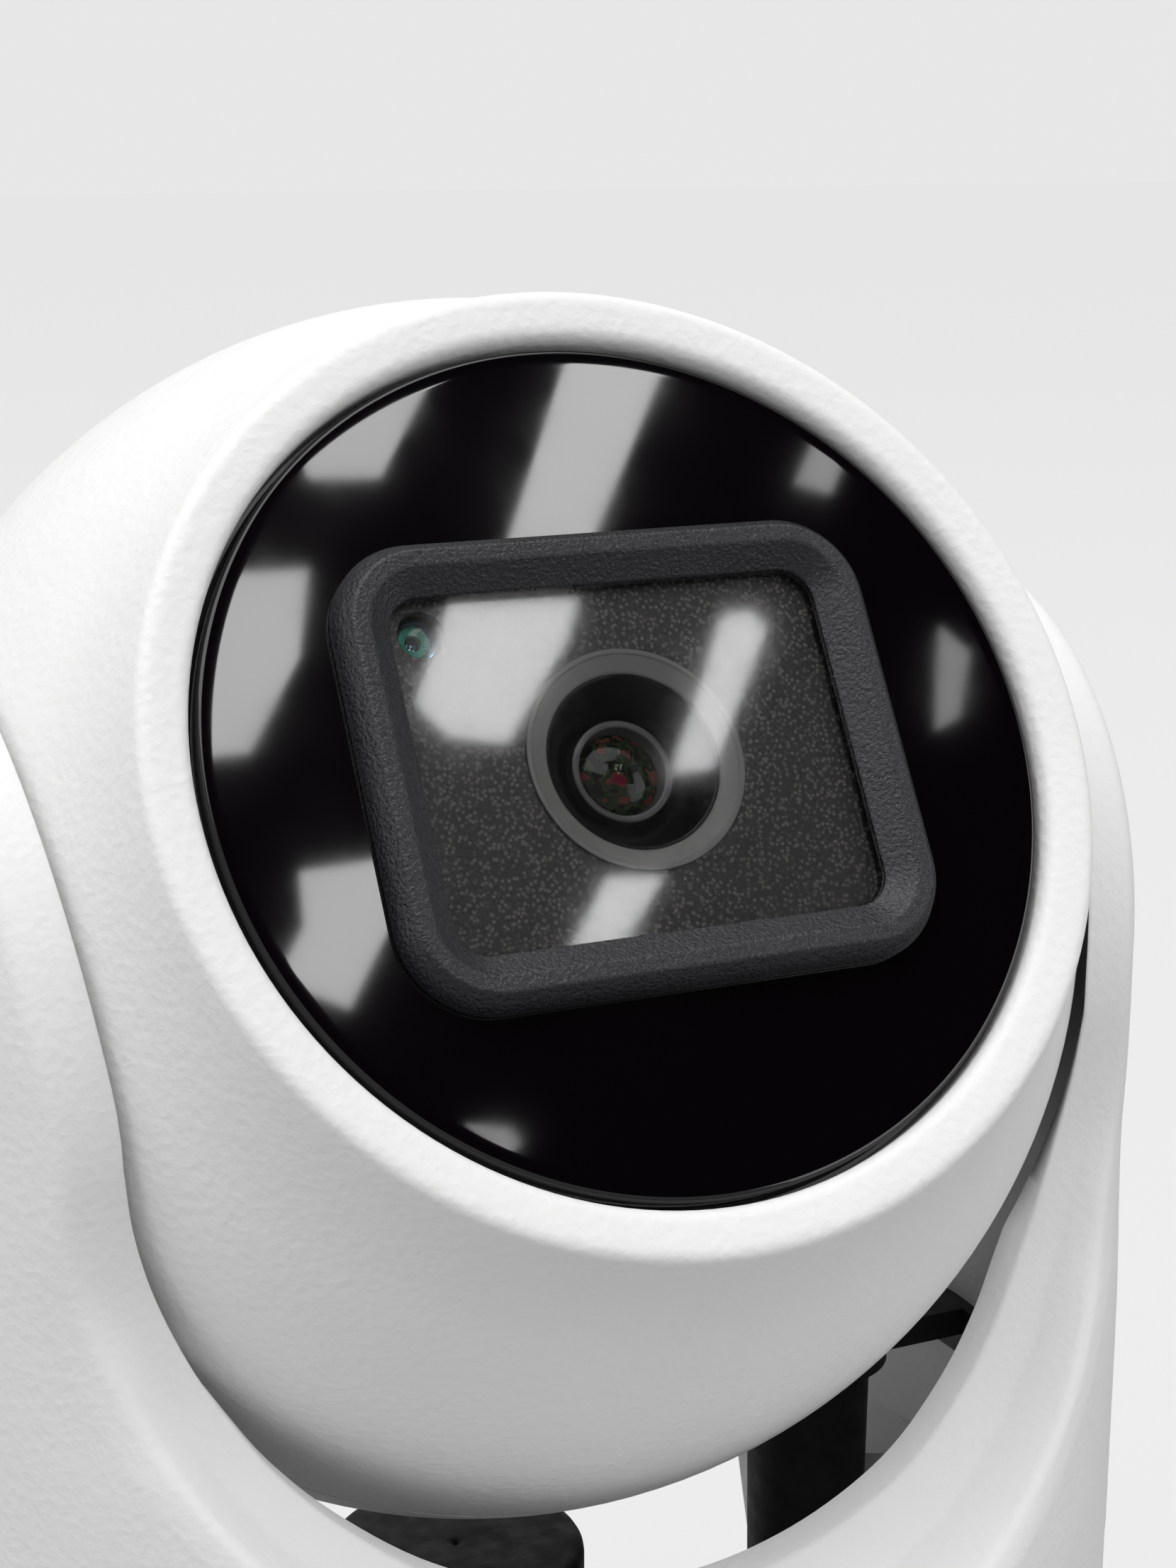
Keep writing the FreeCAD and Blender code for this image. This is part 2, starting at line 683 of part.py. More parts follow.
def yoke_screws():
    screws = []
    for x, y in hub_screw_places():
        head = rod_z(2.1, YOKE_FLOOR, YOKE_FLOOR + 1.4, x, y)
        socket = rod_z(0.9, YOKE_FLOOR + 0.6, YOKE_FLOOR + 3, x, y)
        shank = rod_z(1.2, YOKE_BOTTOM - 8.5, YOKE_FLOOR, x, y)
        screws.append(head.cut(socket).fuse(shank).removeSplitter())
    return group(screws)


# Base

MOTOR_R = 33.0                # pan motor's distance from the pan axis
BEARING = (11.6, 16.4)        # heights of the pan bearing
INLET_Z = 10.4


def base_screw_places():
    return [(42.0 * math.cos(a), 42.0 * math.sin(a)) for a in
            (math.radians(45 + 90 * k) for k in range(4))]


def base_shell():
    outer = rod_z(BASE_R, PLATE_TOP, BASE_TOP)
    rim = [edge for edge in outer.Edges if edge.BoundBox.ZMin > BASE_TOP - 0.1]
    outer = outer.makeFillet(1.2, rim)
    body = outer.cut(rod_z(BASE_R - BASE_WALL, 0, BASE_TOP - BASE_WALL))
    seat = rod_z(18.6, BEARING[0] - 0.4, BASE_TOP - 0.5).cut(rod_z(16.0, 0, BEARING[1]))
    body = body.fuse(seat).removeSplitter()
    posts = group([rod_z(3.2, PLATE_TOP, BASE_TOP - 1, x, y) for x, y in base_screw_places()])
    body = body.fuse(posts).removeSplitter()
    body = body.cut(group([rod_z(1.25, 0, 14, x, y) for x, y in base_screw_places()]))
    body = body.cut(rod_z(HUB_R + 0.4, 0, 30))
    return body.cut(rod_y(5.1, 40, 60, 0, INLET_Z))


def base_plate():
    plate = rod_z(BASE_R, 2.6, PLATE_TOP)
    plate = plate.cut(rod_z(24.0, 0, 5))
    plate = plate.cut(group([rod_z(1.6, 0, 5, x, y) for x, y in base_screw_places()]))
    return plate


def mounting_plate():
    plate = rod_z(47.0, 0.8, 2.6)
    plate = plate.cut(rod_z(12.0, 0, 5))
    holes = bolt_places()
    plate = plate.cut(group([rod_z(BOLT_R, 0, 5, x, y) for x, y in holes]))
    return plate.cut(group([rod_z(3.4, 0, 5, x, y) for x, y in base_screw_places()]))


def bolt_places():
    radius = BOLT_PCD / 2
    return [(radius * math.cos(a), radius * math.sin(a)) for a in
            (math.radians(90 * k) for k in range(4))]


def mount_gasket():
    ring = rod_z(49.0, 0.0, 2.6).cut(rod_z(47.0, -1, 5))
    floor = rod_z(49.0, 0.0, 0.8).cut(rod_z(40.0, -1, 5))
    return ring.fuse(floor).removeSplitter().cut(group([rod_z(3.4, -1, 5, x, y) for x, y in base_screw_places()]))


def pan_bearing():
    z0, z1 = BEARING
    outer = rod_z(16.0, z0, z1).cut(rod_z(14.6, z0 - 1, z1 + 1))
    return outer


def bearing_inner():
    z0, z1 = BEARING
    return rod_z(12.4, z0, z1).cut(rod_z(HUB_R, z0 - 1, z1 + 1))


def bearing_balls():
    middle = (BEARING[0] + BEARING[1]) / 2
    race = (12.4 + 14.6) / 2
    balls = []
    for k in range(16):
        angle = 2 * math.pi * k / 16
        balls.append(Part.makeSphere(1.05, vec(race * math.cos(angle), race * math.sin(angle), middle)))
    return group(balls)


def pan_motor():
    can = rod_z(11.5, 11.0, BASE_TOP - BASE_WALL, -MOTOR_R, 0)
    lugs = block(-MOTOR_R - 2.6, -MOTOR_R + 2.6, -15, 15, 15.2, BASE_TOP - BASE_WALL)
    shaft = rod_z(1.15, 7.2, 11.0, -MOTOR_R, 0)
    return joined([can, lugs, shaft])


def pan_pinion():
    pinion = gear_z(PAN_PINION_TEETH, 7.0, 10.0, 1.2, math.pi / PAN_PINION_TEETH)
    pinion.translate(vec(-MOTOR_R, 0, 0))
    return pinion


def power_board():
    board = block(30.5, 44.0, -13, 13, 15.2, BASE_TOP - BASE_WALL).common(rod_z(46.0, 0, 20))
    coil = rod_z(3.5, 12.0, 15.2, 36, 6)
    plug = block(33, 41, -11, -4, 12.0, 15.2)
    return group([board, coil, plug])


def cable_gland():
    body = rod_y(5.0, 44.5, 49.2, 0, INLET_Z)
    return body.cut(rod_y(2.6, 40, 60, 0, INLET_Z))


def gland_nut():
    nut = Part.Face(polygon([
        vec(7.0 * math.cos(math.radians(60 * k)), 44.7, INLET_Z + 7.0 * math.sin(math.radians(60 * k)))
        for k in range(6)
    ])).extrude(vec(0, 2.2, 0))
    nut = nut.common(rod_z(BASE_R - BASE_WALL, 0, 20)).common(block(-9, 9, 40, 50, PLATE_TOP + 0.2, 16.4))
    return nut.cut(rod_y(5.0, 40, 60, 0, INLET_Z))


def base_screws():
    screws = []
    for x, y in base_screw_places():
        head = rod_z(2.6, 0.9, 2.6, x, y)
        socket = rod_z(1.1, 0, 1.8, x, y)
        shank = rod_z(1.25, 2.6, 12.0, x, y)
        screws.append(head.cut(socket).fuse(shank).removeSplitter())
    return group(screws)


os.makedirs("parts", exist_ok=True)

HEAD_PARTS = {
    "front_shell": front_shell, "rear_shell": rear_shell, "shell_seal": shell_seal,
    "face_disc": face_disc, "face_gasket": face_gasket, "lens_frame": lens_frame,
    "window_glass": window_glass, "lens_panel": lens_panel, "lens_ring": lens_ring,
    "lens_hood": lens_hood, "lens_barrel": lens_barrel, "lens_glass": lens_glass,
    "lens_holder": lens_holder, "sensor_board": sensor_board, "light_sensor": light_sensor,
    "led_board": led_board, "leds": leds, "chassis": chassis, "main_board": main_board,
    "heat_sink": heat_sink, "speaker": speaker, "microphone": microphone,
    "tilt_motor": tilt_motor, "tilt_pinion": tilt_pinion, "tilt_bush_right": tilt_bush,
    "card_plug": card_plug, "memory_card": memory_card, "card_socket": card_socket,
    "reset_button": reset_button, "head_screws": head_screws,
}
YOKE_PARTS = {
    "yoke_shell": yoke_shell, "arm_cover_right": arm_cover, "pivot_pin_right": pivot_pin,
    "pivot_cap_right": pivot_cap, "tilt_gear": tilt_gear, "harness_boot": harness_boot,
    "antenna": antenna, "antenna_clip": antenna_clip, "pan_hub": pan_hub, "pan_gear": pan_gear,
    "yoke_screws": yoke_screws,
}
BASE_PARTS = {
    "base_shell": base_shell, "base_plate": base_plate, "mounting_plate": mounting_plate,
    "mount_gasket": mount_gasket, "pan_bearing_outer": pan_bearing, "pan_bearing_balls": bearing_balls,
    "pan_bearing_inner": bearing_inner, "pan_motor": pan_motor, "pan_pinion": pan_pinion,
    "power_board": power_board, "cable_gland": cable_gland, "gland_nut": gland_nut,
    "base_screws": base_screws,
}

for name, make in HEAD_PARTS.items():
    save(name, in_head(make()))
save("tilt_bush_left", in_head(mirrored(tilt_bush())))

for name, make in YOKE_PARTS.items():
    save(name, in_yoke(make()))
save("arm_cover_left", in_yoke(mirrored(arm_cover())))
save("pivot_pin_left", in_yoke(mirrored(pivot_pin())))
save("pivot_cap_left", in_yoke(mirrored(pivot_cap())))

for name, make in BASE_PARTS.items():
    save(name, make())
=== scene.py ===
import json
import math

import bpy
from mathutils import Matrix, Vector


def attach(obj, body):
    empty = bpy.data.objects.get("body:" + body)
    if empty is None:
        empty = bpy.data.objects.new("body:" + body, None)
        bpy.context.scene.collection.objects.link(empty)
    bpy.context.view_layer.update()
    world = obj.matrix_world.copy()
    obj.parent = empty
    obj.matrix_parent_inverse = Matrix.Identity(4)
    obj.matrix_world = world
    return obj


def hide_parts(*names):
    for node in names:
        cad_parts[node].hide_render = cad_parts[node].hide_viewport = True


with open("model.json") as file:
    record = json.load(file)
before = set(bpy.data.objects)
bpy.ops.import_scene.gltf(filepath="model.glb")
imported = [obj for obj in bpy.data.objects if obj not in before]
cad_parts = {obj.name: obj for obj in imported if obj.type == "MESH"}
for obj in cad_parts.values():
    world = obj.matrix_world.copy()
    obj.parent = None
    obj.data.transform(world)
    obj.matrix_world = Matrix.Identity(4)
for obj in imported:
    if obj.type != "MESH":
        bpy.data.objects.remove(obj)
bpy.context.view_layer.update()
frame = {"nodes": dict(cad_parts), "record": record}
NODES = frame["nodes"]

MM = 0.001
CENTRE = Vector((0.0, 0.0, 0.107))      # centre of the ball, metres
TILT = math.radians(-31.7)              # the head's turn about X at rest
WINDOW_AT = (-0.2, -0.2)                # centre of the lens frame on the face, millimetres
SENSOR_AT = (-13.0, 9.5)

# ---------------------------------------------------------------- bench tools


def start():
    if bpy.context.object and bpy.context.object.mode != "OBJECT":
        bpy.ops.object.mode_set(mode="OBJECT")
    bpy.ops.object.select_all(action="DESELECT")


def pick(piece):
    start()
    piece.select_set(True)
    bpy.context.view_layer.objects.active = piece


def edit(piece):
    pick(piece)
    bpy.ops.object.mode_set(mode="EDIT")
    bpy.ops.mesh.select_mode(type="VERT")


def done(piece, smooth=30):
    """Leaves edit mode and shades the piece smooth up to an angle between faces."""
    bpy.ops.mesh.select_all(action="SELECT")
    bpy.ops.mesh.remove_doubles(threshold=0.000002)
    bpy.ops.mesh.normals_make_consistent(inside=False)
    bpy.ops.object.mode_set(mode="OBJECT")
    pick(piece)
    bpy.ops.object.shade_smooth_by_angle(angle=math.radians(smooth))
    return piece


def select(piece, wanted):
    """In edit mode, selects the faces whose centre and normal pass the test."""
    bpy.ops.mesh.select_mode(type="FACE")
    bpy.ops.mesh.select_all(action="DESELECT")
    bpy.ops.object.mode_set(mode="OBJECT")
    for face in piece.data.polygons:
        face.select = bool(wanted(face.center, face.normal))
    bpy.ops.object.mode_set(mode="EDIT")


def thread(name, points):
    """A line of edges through the points (millimetres), left in edit mode, all selected."""
    start()
    bpy.ops.mesh.primitive_plane_add(size=0.001)
    piece = bpy.context.object
    piece.name = name
    bpy.ops.object.mode_set(mode="EDIT")
    bpy.ops.mesh.select_mode(type="VERT")
    bpy.ops.mesh.select_all(action="SELECT")
    bpy.ops.mesh.merge(type="CENTER")
    bpy.ops.transform.translate(value=Vector(points[0]) * MM)
    for a, b in zip(points, points[1:]):
        bpy.ops.mesh.extrude_region_move(TRANSFORM_OT_translate={"value": (Vector(b) - Vector(a)) * MM})
    return piece


def turned(name, section, steps=128, along="Y", centre=(0.0, 0.0, 0.0), smooth=30):
    """A turned piece: the section is (radius, distance) pairs; distance runs to the front or up."""
    if along == "Y":
        points = [(centre[0] + r, -d, centre[2]) for r, d in section]
        axis = (0, 1, 0)
    else:
        points = [(centre[0] + r, centre[1], d) for r, d in section]
        axis = (0, 0, 1)
    piece = thread(name, points)
    bpy.ops.mesh.select_all(action="SELECT")
    bpy.ops.mesh.spin(steps=steps, angle=2 * math.pi, center=Vector(centre) * MM, axis=axis)
    return done(piece, smooth)


def bow(a, middle, b, count):
    """Points on the circle through three (radius, distance) pairs."""
    (x1, y1), (x2, y2), (x3, y3) = a, middle, b
    d = 2 * (x1 * (y2 - y3) + x2 * (y3 - y1) + x3 * (y1 - y2))
    s1, s2, s3 = x1 * x1 + y1 * y1, x2 * x2 + y2 * y2, x3 * x3 + y3 * y3
    cx = (s1 * (y2 - y3) + s2 * (y3 - y1) + s3 * (y1 - y2)) / d
    cy = (s1 * (x3 - x2) + s2 * (x1 - x3) + s3 * (x2 - x1)) / d
    t1 = math.atan2(y1 - cy, x1 - cx)
    t2 = math.atan2(y2 - cy, x2 - cx)
    t3 = math.atan2(y3 - cy, x3 - cx)
    turn = 2 * math.pi
    while t2 < t1:
        t2 += turn
    while t3 < t1:
        t3 += turn
    if t2 > t3:
        t3 -= turn
    r = math.hypot(x1 - cx, y1 - cy)
    steps = [t1 + (t3 - t1) * k / count for k in range(count + 1)]
    return [(cx + r * math.cos(t), cy + r * math.sin(t)) for t in steps]


def rounded(points, radius, closed=True, count=4):
    """Softens the corners of a section: each corner becomes a short curve."""
    out = []
    n = len(points)
    for i, p in enumerate(points):
        if not closed and i in (0, n - 1):
            out.append(tuple(p))
            continue
        a, b = Vector(points[i - 1]), Vector(points[(i + 1) % n])
        p = Vector(p)
        cut_a = min(radius, (a - p).length * 0.45)
        cut_b = min(radius, (b - p).length * 0.45)
        first = p + (a - p).normalized() * cut_a
        last = p + (b - p).normalized() * cut_b
        for k in range(count + 1):
            t = k / count
            out.append(tuple(first * (1 - t) ** 2 + p * 2 * t * (1 - t) + last * t * t))
    return out + [out[0]] if closed else out


def block(name, low, high, soft=0.4, segments=3):
    """A box between two corners (millimetres) with softened edges."""
    start()
    low, high = Vector(low), Vector(high)
    bpy.ops.mesh.primitive_cube_add(size=1.0, location=(low + high) / 2 * MM)
    piece = bpy.context.object
    piece.name = name
    bpy.ops.object.mode_set(mode="EDIT")
    bpy.ops.mesh.select_all(action="SELECT")
    bpy.ops.transform.resize(value=(high - low) * MM, center_override=(low + high) / 2 * MM)
    bpy.ops.mesh.bevel(offset=soft * MM, segments=segments, affect="EDGES")
    done(piece)
    bpy.ops.object.transform_apply(location=True, rotation=True, scale=True)
    return piece


def rod(name, radius, a, b, soft=0.3, vertices=48):
    """A round bar between two points (millimetres) with softened ends."""
    start()
    a, b = Vector(a), Vector(b)
    bpy.ops.mesh.primitive_cylinder_add(vertices=vertices, radius=radius * MM, depth=(b - a).length * MM,
                                        location=(0, 0, 0))
    piece = bpy.context.object
    piece.name = name
    if soft:
        bpy.ops.object.mode_set(mode="EDIT")
        select(piece, lambda c, n: abs(n.z) > 0.9)
        bpy.ops.mesh.bevel(offset=soft * MM, segments=3, affect="EDGES")
        done(piece)
    turn = Vector((0, 0, 1)).rotation_difference(b - a).to_matrix().to_4x4()
    piece.data.transform(Matrix.Translation((a + b) / 2 * MM) @ turn)
    return piece


def use(piece, kind, **settings):
    pick(piece)
    modifier = piece.modifiers.new(kind.title(), kind)
    for key, value in settings.items():
        setattr(modifier, key, value)
    bpy.ops.object.modifier_apply(modifier=modifier.name)


def cut(piece, *tools):
    for tool in tools:
        use(piece, "BOOLEAN", operation="DIFFERENCE", object=tool, solver="EXACT")
        bpy.data.objects.remove(tool)


def soften(piece, width, angle=30, segments=3, smooth=35):
    """Rounds the sharp edges of a piece and keeps its flats flat."""
    pick(piece)
    bpy.ops.object.shade_smooth_by_angle(angle=math.radians(smooth))
    use(piece, "BEVEL", width=width * MM, segments=segments, limit_method="ANGLE",
        angle_limit=math.radians(angle), use_clamp_overlap=True, harden_normals=True)


def join(name, *pieces):
    start()
    for piece in pieces:
        piece.select_set(True)
    bpy.context.view_layer.objects.active = pieces[0]
    bpy.ops.object.join()
    pieces[0].name = name
    return pieces[0]


def in_head(piece):
    piece.data.transform(Matrix.Translation(CENTRE) @ Matrix.Rotation(TILT, 4, "X"))
    return piece


def in_yoke(piece):
    piece.data.transform(Matrix.Translation(CENTRE))
    return piece


def fit(piece, body, material, slot, *nodes):
    """Gives a finished piece its body, finish and the CAD nodes it stands for."""
    piece.data.materials.clear()
    piece.data.materials.append(material)
    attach(piece, body)
    if nodes:
        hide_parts(*nodes)
    return piece


# ---------------------------------------------------------------- finishes


class Finish:
    """A procedural material on Object coordinates."""

    def __init__(self, name, color, roughness, **sockets):
        self.material = bpy.data.materials.new(name)
        self.material.use_nodes = True
        self.nodes = self.material.node_tree.nodes
        self.links = self.material.node_tree.links
        self.shader = self.nodes["Principled BSDF"]
        self.place = self.nodes.new("ShaderNodeTexCoord")
        self.set(self.shader, "Base Color", (*color, 1.0))
        self.set(self.shader, "Roughness", roughness)
        for key, value in sockets.items():
            self.set(self.shader, key.replace("_", " "), value)
        self.color = color
        self.roughness = roughness

    @staticmethod
    def set(node, socket, value):
        node.inputs[socket].default_value = value

    def noise(self, scale, detail=3.0, rough=0.5, kind="noise", stretch=None):
        node = self.nodes.new("ShaderNodeTexNoise" if kind == "noise" else "ShaderNodeTexVoronoi")
        self.set(node, "Scale", scale)
        if kind == "noise":
            self.set(node, "Detail", detail)
            self.set(node, "Roughness", rough)
        source = self.place.outputs["Object"]
        if stretch:
            mapping = self.nodes.new("ShaderNodeMapping")
            self.set(mapping, "Scale", stretch)
            self.links.new(source, mapping.inputs["Vector"])
            source = mapping.outputs["Vector"]
        self.links.new(source, node.inputs["Vector"])
        return node.outputs["Fac"] if kind == "noise" else node.outputs["Distance"]

    def span(self, source, low, high, to_low, to_high):
        node = self.nodes.new("ShaderNodeMapRange")
        for socket, value in (("From Min", low), ("From Max", high), ("To Min", to_low), ("To Max", to_high)):
            self.set(node, socket, value)
        self.links.new(source, node.inputs["Value"])
        return node.outputs["Result"]

    def tint(self, source, dark, light):
        """Colour varies between two tints by a 0 to 1 value."""
        node = self.nodes.new("ShaderNodeMix")
        node.data_type = "RGBA"
        node.inputs["A"].default_value = (*dark, 1.0)
        node.inputs["B"].default_value = (*light, 1.0)
        for socket in node.inputs:
            if socket.type == "RGBA" and socket.name == "A":
                socket.default_value = (*dark, 1.0)
            if socket.type == "RGBA" and socket.name == "B":
                socket.default_value = (*light, 1.0)
        self.links.new(source, node.inputs["Factor"])
        out = [s for s in node.outputs if s.type == "RGBA"][0]
        self.links.new(out, self.shader.inputs["Base Color"])
        return self

    def gloss(self, source):
        self.links.new(source, self.shader.inputs["Roughness"])
        return self

    def relief(self, source, strength, depth, before=None):
        node = self.nodes.new("ShaderNodeBump")
        self.set(node, "Strength", strength)
        self.set(node, "Distance", depth)
        self.links.new(source, node.inputs["Height"])
        if before is not None:
            self.links.new(before, node.inputs["Normal"])
        self.links.new(node.outputs["Normal"], self.shader.inputs["Normal"])
        return node.outputs["Normal"]


def shell_finish(name, color, grain=1.0):
    """White moulded plastic with a fine leather grain and a faint unevenness of tone."""
    f = Finish(name, color, 0.5, IOR=1.46)
    pebble = f.noise(1900.0, 2.0, 0.5)
    cells = f.noise(1150.0, kind="cells")
    soft = f.relief(f.span(cells, 0.0, 0.75, 0.0, 1.0), 0.16 * grain, 0.00022)
    f.relief(pebble, 0.26 * grain, 0.00022, soft)
    broad = f.noise(38.0, 3.0)
    light = tuple(min(1.0, c * 1.015) for c in color)
    dark = tuple(c * 0.975 for c in color)
    f.tint(f.span(broad, 0.35, 0.65, 0.0, 1.0), dark, light)
    f.gloss(f.span(f.noise(420.0, 2.0), 0.3, 0.7, 0.44, 0.58))
    return f.material


def grained_black(name, color, grain, low, high, strength, depth, dark, light):
    """Black moulded plastic with a sandy grain that glints."""
    f = Finish(name, color, (low + high) / 2)
    sand = f.noise(grain, 2.5, 0.6)
    f.relief(sand, strength, depth)
    f.tint(f.span(f.noise(grain, kind="cells"), 0.5, 0.1, 0.0, 1.0), tuple(c * dark for c in color),
           tuple(c * light for c in color))
    f.gloss(f.span(f.noise(grain * 0.5, 2.0), 0.35, 0.65, low, high))
    return f.material


def plain(name, color, low, high, scale=260.0, strength=0.08, **sockets):
    """A quiet finish: faint tone and gloss variation and a very fine relief."""
    f = Finish(name, color, (low + high) / 2, **sockets)
    f.gloss(f.span(f.noise(scale, 2.0), 0.3, 0.7, low, high))
    f.relief(f.noise(scale * 5, 2.0), strength, 0.0001)
    f.tint(f.span(f.noise(scale * 0.2, 3.0), 0.3, 0.7, 0.0, 1.0), tuple(c * 0.9 for c in color), color)
    return f.material


def metal(name, color, low, high, stretch):
    f = Finish(name, color, (low + high) / 2, Metallic=1.0)
    brushed = f.noise(900.0, 2.0, 0.6, stretch=stretch)
    f.gloss(f.span(brushed, 0.3, 0.7, low, high))
    f.relief(brushed, 0.12, 0.00005)
    f.tint(f.span(f.noise(120.0, 2.0), 0.3, 0.7, 0.0, 1.0), tuple(c * 0.85 for c in color), color)
    return f.material


def glossy_face():
    """Smoked mirror-gloss cover: nearly flawless, with a hint of orange peel."""
    f = Finish("face gloss black", (0.0012, 0.0006, 0.0011), 0.04, IOR=1.5)
    f.gloss(f.span(f.noise(160.0, 3.0), 0.35, 0.75, 0.03, 0.05))
    f.relief(f.noise(90.0, 1.0), 0.02, 0.00005)
    return f.material


def clear_glass(name, tint, ior, alpha):
    """Thin clear cover: mostly see-through, with the surface's own reflections."""
    f = Finish(name, tint, 0.02, IOR=ior)
    f.set(f.shader, "Transmission Weight", 1.0)
    f.gloss(f.span(f.noise(500.0, 3.0), 0.45, 0.85, 0.035, 0.055))
    f.relief(f.noise(60.0, 1.0), 0.01, 0.0001)
    return f.material


def lens_glass_painted_reflection():
    """Lens glass with the coating's reflection painted into the base colour, in a pattern that runs from green to
    magenta.
    """
    f = Finish("lens glass with painted coating reflection", (0.02, 0.03, 0.025), 0.06, IOR=1.4)
    ramp = f.nodes.new("ShaderNodeValToRGB")
    reflection_tones = ((0.36, (0.10, 0.006, 0.02)), (0.42, (0.08, 0.03, 0.012)), (0.46, (0.002, 0.004, 0.002)),
             (0.54, (0.018, 0.03, 0.006)), (0.58, (0.001, 0.002, 0.0015)))
    while len(ramp.color_ramp.elements) < len(reflection_tones):
        ramp.color_ramp.elements.new(0.5)
    for element, (where, tone) in zip(ramp.color_ramp.elements, reflection_tones):
        element.position = where
        element.color = (*tone, 1.0)
    # the noise spreads the painted coating reflection over the lens
    reflection_pattern = f.noise(800.0, 2.0, 0.4)
    f.links.new(reflection_pattern, ramp.inputs["Fac"])
    f.links.new(ramp.outputs["Color"], f.shader.inputs["Base Color"])
    f.set(f.shader, "Specular IOR Level", 0.3)
    f.relief(f.noise(90.0, 1.0), 0.03, 0.0001)
    return f.material


SHELL = shell_finish("white shell plastic", (0.80, 0.80, 0.795))
YOKE_WHITE = shell_finish("white yoke plastic", (0.79, 0.795, 0.79), 0.8)
FACE = glossy_face()
FRAME = grained_black("frame grained black", (0.007, 0.007, 0.011), 3600.0, 0.24, 0.36, 0.9, 0.00016, 0.7, 1.8)
PANEL = grained_black("panel sparkling black", (0.018, 0.016, 0.015), 2900.0, 0.28, 0.5, 0.7, 0.0001, 0.3, 6.5)
GLASS = clear_glass("window clear glass", (0.97, 0.98, 0.98), 1.5, 1.0)
DOME = clear_glass("sensor clear dome", (0.45, 0.76, 0.95), 1.5, 1.0)
RING = plain("ring satin grey", (0.16, 0.156, 0.15), 0.38, 0.5, 600.0, 0.12)
# black plastic of the lens recess, about nine times darker than the inner black it shares: the extra darkness is
# painted shade of the recess
HOOD_BLACK_PAINTED_SHADE = plain("hood black with painted shade", (0.0022, 0.0022, 0.0025), 0.16, 0.26, 300.0, 0.05, Specular_IOR_Level=0.12)
BARREL = plain("barrel black", (0.045, 0.044, 0.047), 0.28, 0.4, 500.0, 0.1)
# lens glass whose coating reflection is painted into its base colour
LENS_PAINTED_REFLECTION = lens_glass_painted_reflection()
RUBBER = plain("rubber black", (0.006, 0.006, 0.006), 0.55, 0.75, 500.0, 0.3)
BLACK = plain("inner black plastic", (0.02, 0.02, 0.021), 0.4, 0.6, 500.0, 0.25)
BOARD = plain("board green", (0.015, 0.12, 0.05), 0.25, 0.45, 300.0, 0.2)
LED = plain("led package", (0.75, 0.72, 0.5), 0.25, 0.4)
STEEL = metal("zinc steel", (0.58, 0.58, 0.57), 0.25, 0.45, (1.0, 1.0, 8.0))
ALUMINIUM = metal("milled aluminium", (0.75, 0.76, 0.77), 0.25, 0.4, (8.0, 1.0, 1.0))
NYLON = plain("gear acetal", (0.75, 0.73, 0.66), 0.35, 0.5)
CAN = metal("motor can", (0.35, 0.35, 0.37), 0.3, 0.5, (1.0, 8.0, 1.0))
SENSOR_GREEN = plain("sensor die green", (0.03, 0.40, 0.16), 0.2, 0.35)

# ---------------------------------------------------------------- head

# Front shell: bore with a rounded lip, flat rim, hollow flare and the front half of the ball
ball_arc = bow((37.4, 25.03), (45 * math.cos(0.3), 45 * math.sin(0.3)), (45.0, 0.2), 26)
flare = bow((33.5, 33.0), (34.95, 29.35), (37.4, 25.03), 14)
rim = rounded([(29.66, 30.6), (29.66, 34.2), (33.0, 34.62), (33.5, 33.0)], 1.0, closed=False, count=7)
front = rim[:-1] + flare[1:-1] + ball_arc + [(44.9, 0.2), (41.0, 0.2)]
front += bow((41.0, 0.2), (36.0, 19.6), (29.2, 28.8), 12)[1:] + [(27.5, 28.8), (27.5, 30.6), (29.66, 30.6)]


def flatten(piece, hole=7.6):
    """Cuts the ball's flat sides and the pivot holes in them."""
    for side in (-1, 1):
        edit(piece)
        bpy.ops.mesh.select_all(action="SELECT")
        bpy.ops.mesh.bisect(plane_co=(side * 41.3 * MM, 0, 0), plane_no=(side, 0, 0), use_fill=True,
                            clear_outer=True, threshold=0.000001)
        done(piece)
    cut(piece, rod("pivot hole", hole, (-50, 0, 0), (50, 0, 0), soft=0))
    pick(piece)
    bpy.ops.object.shade_smooth_by_angle(angle=math.radians(30))


ball_front = turned("ball_front", front, 160)
flatten(ball_front)
fit(in_head(ball_front), "head", SHELL, "shell_white", "front_shell")

# Rear shell: the back half of the ball with its speaker holes, screw holes, card slot and button hole
outer = bow((45.0, -0.2), (45 * math.cos(-0.8), 45 * math.sin(-0.8)), (0.0, -45.0), 44)
inner = bow((0.0, -41.4), (41.4 * math.cos(-0.8), 41.4 * math.sin(-0.8)), (41.4, -0.2), 30)
ball_rear = turned("ball_rear", [(41.4, -0.2), (44.9, -0.2)] + outer + inner, 160)
flatten(ball_rear)


def behind(piece, degrees):
    piece.data.transform(Matrix.Rotation(-math.radians(degrees), 4, "X"))
    return piece


tools = [rod("speaker hole", 0.8, (0, 34, 9), (0, 50, 9), 0, 20)]
for ring_r, count in ((4.0, 8), (8.0, 14)):
    for k in range(count):
        a = 2 * math.pi * k / count
        x, z = ring_r * math.cos(a), 9.0 + ring_r * math.sin(a)
        tools.append(rod("speaker hole", 0.8, (x, 34, z), (x, 50, z), 0, 20))
for x in (-27.0, 27.0):
    for z in (-23.0, 23.0):
        tools.append(rod("screw hole", 3.0, (x, 20, z), (x, 50, z), 0, 32))
tools.append(behind(block("card slot", (-9.15, 38, -4.15), (9.15, 50, 4.15), 0.8), 30))
tools.append(behind(rod("button hole", 1.8, (0, 38, 0), (0, 50, 0), 0, 32), 52))
hole_maker = join("hole maker", *tools)
cut(ball_rear, hole_maker)
pick(ball_rear)
bpy.ops.object.shade_smooth_by_angle(angle=math.radians(30))
fit(in_head(ball_rear), "head", SHELL, "shell_white", "rear_shell")

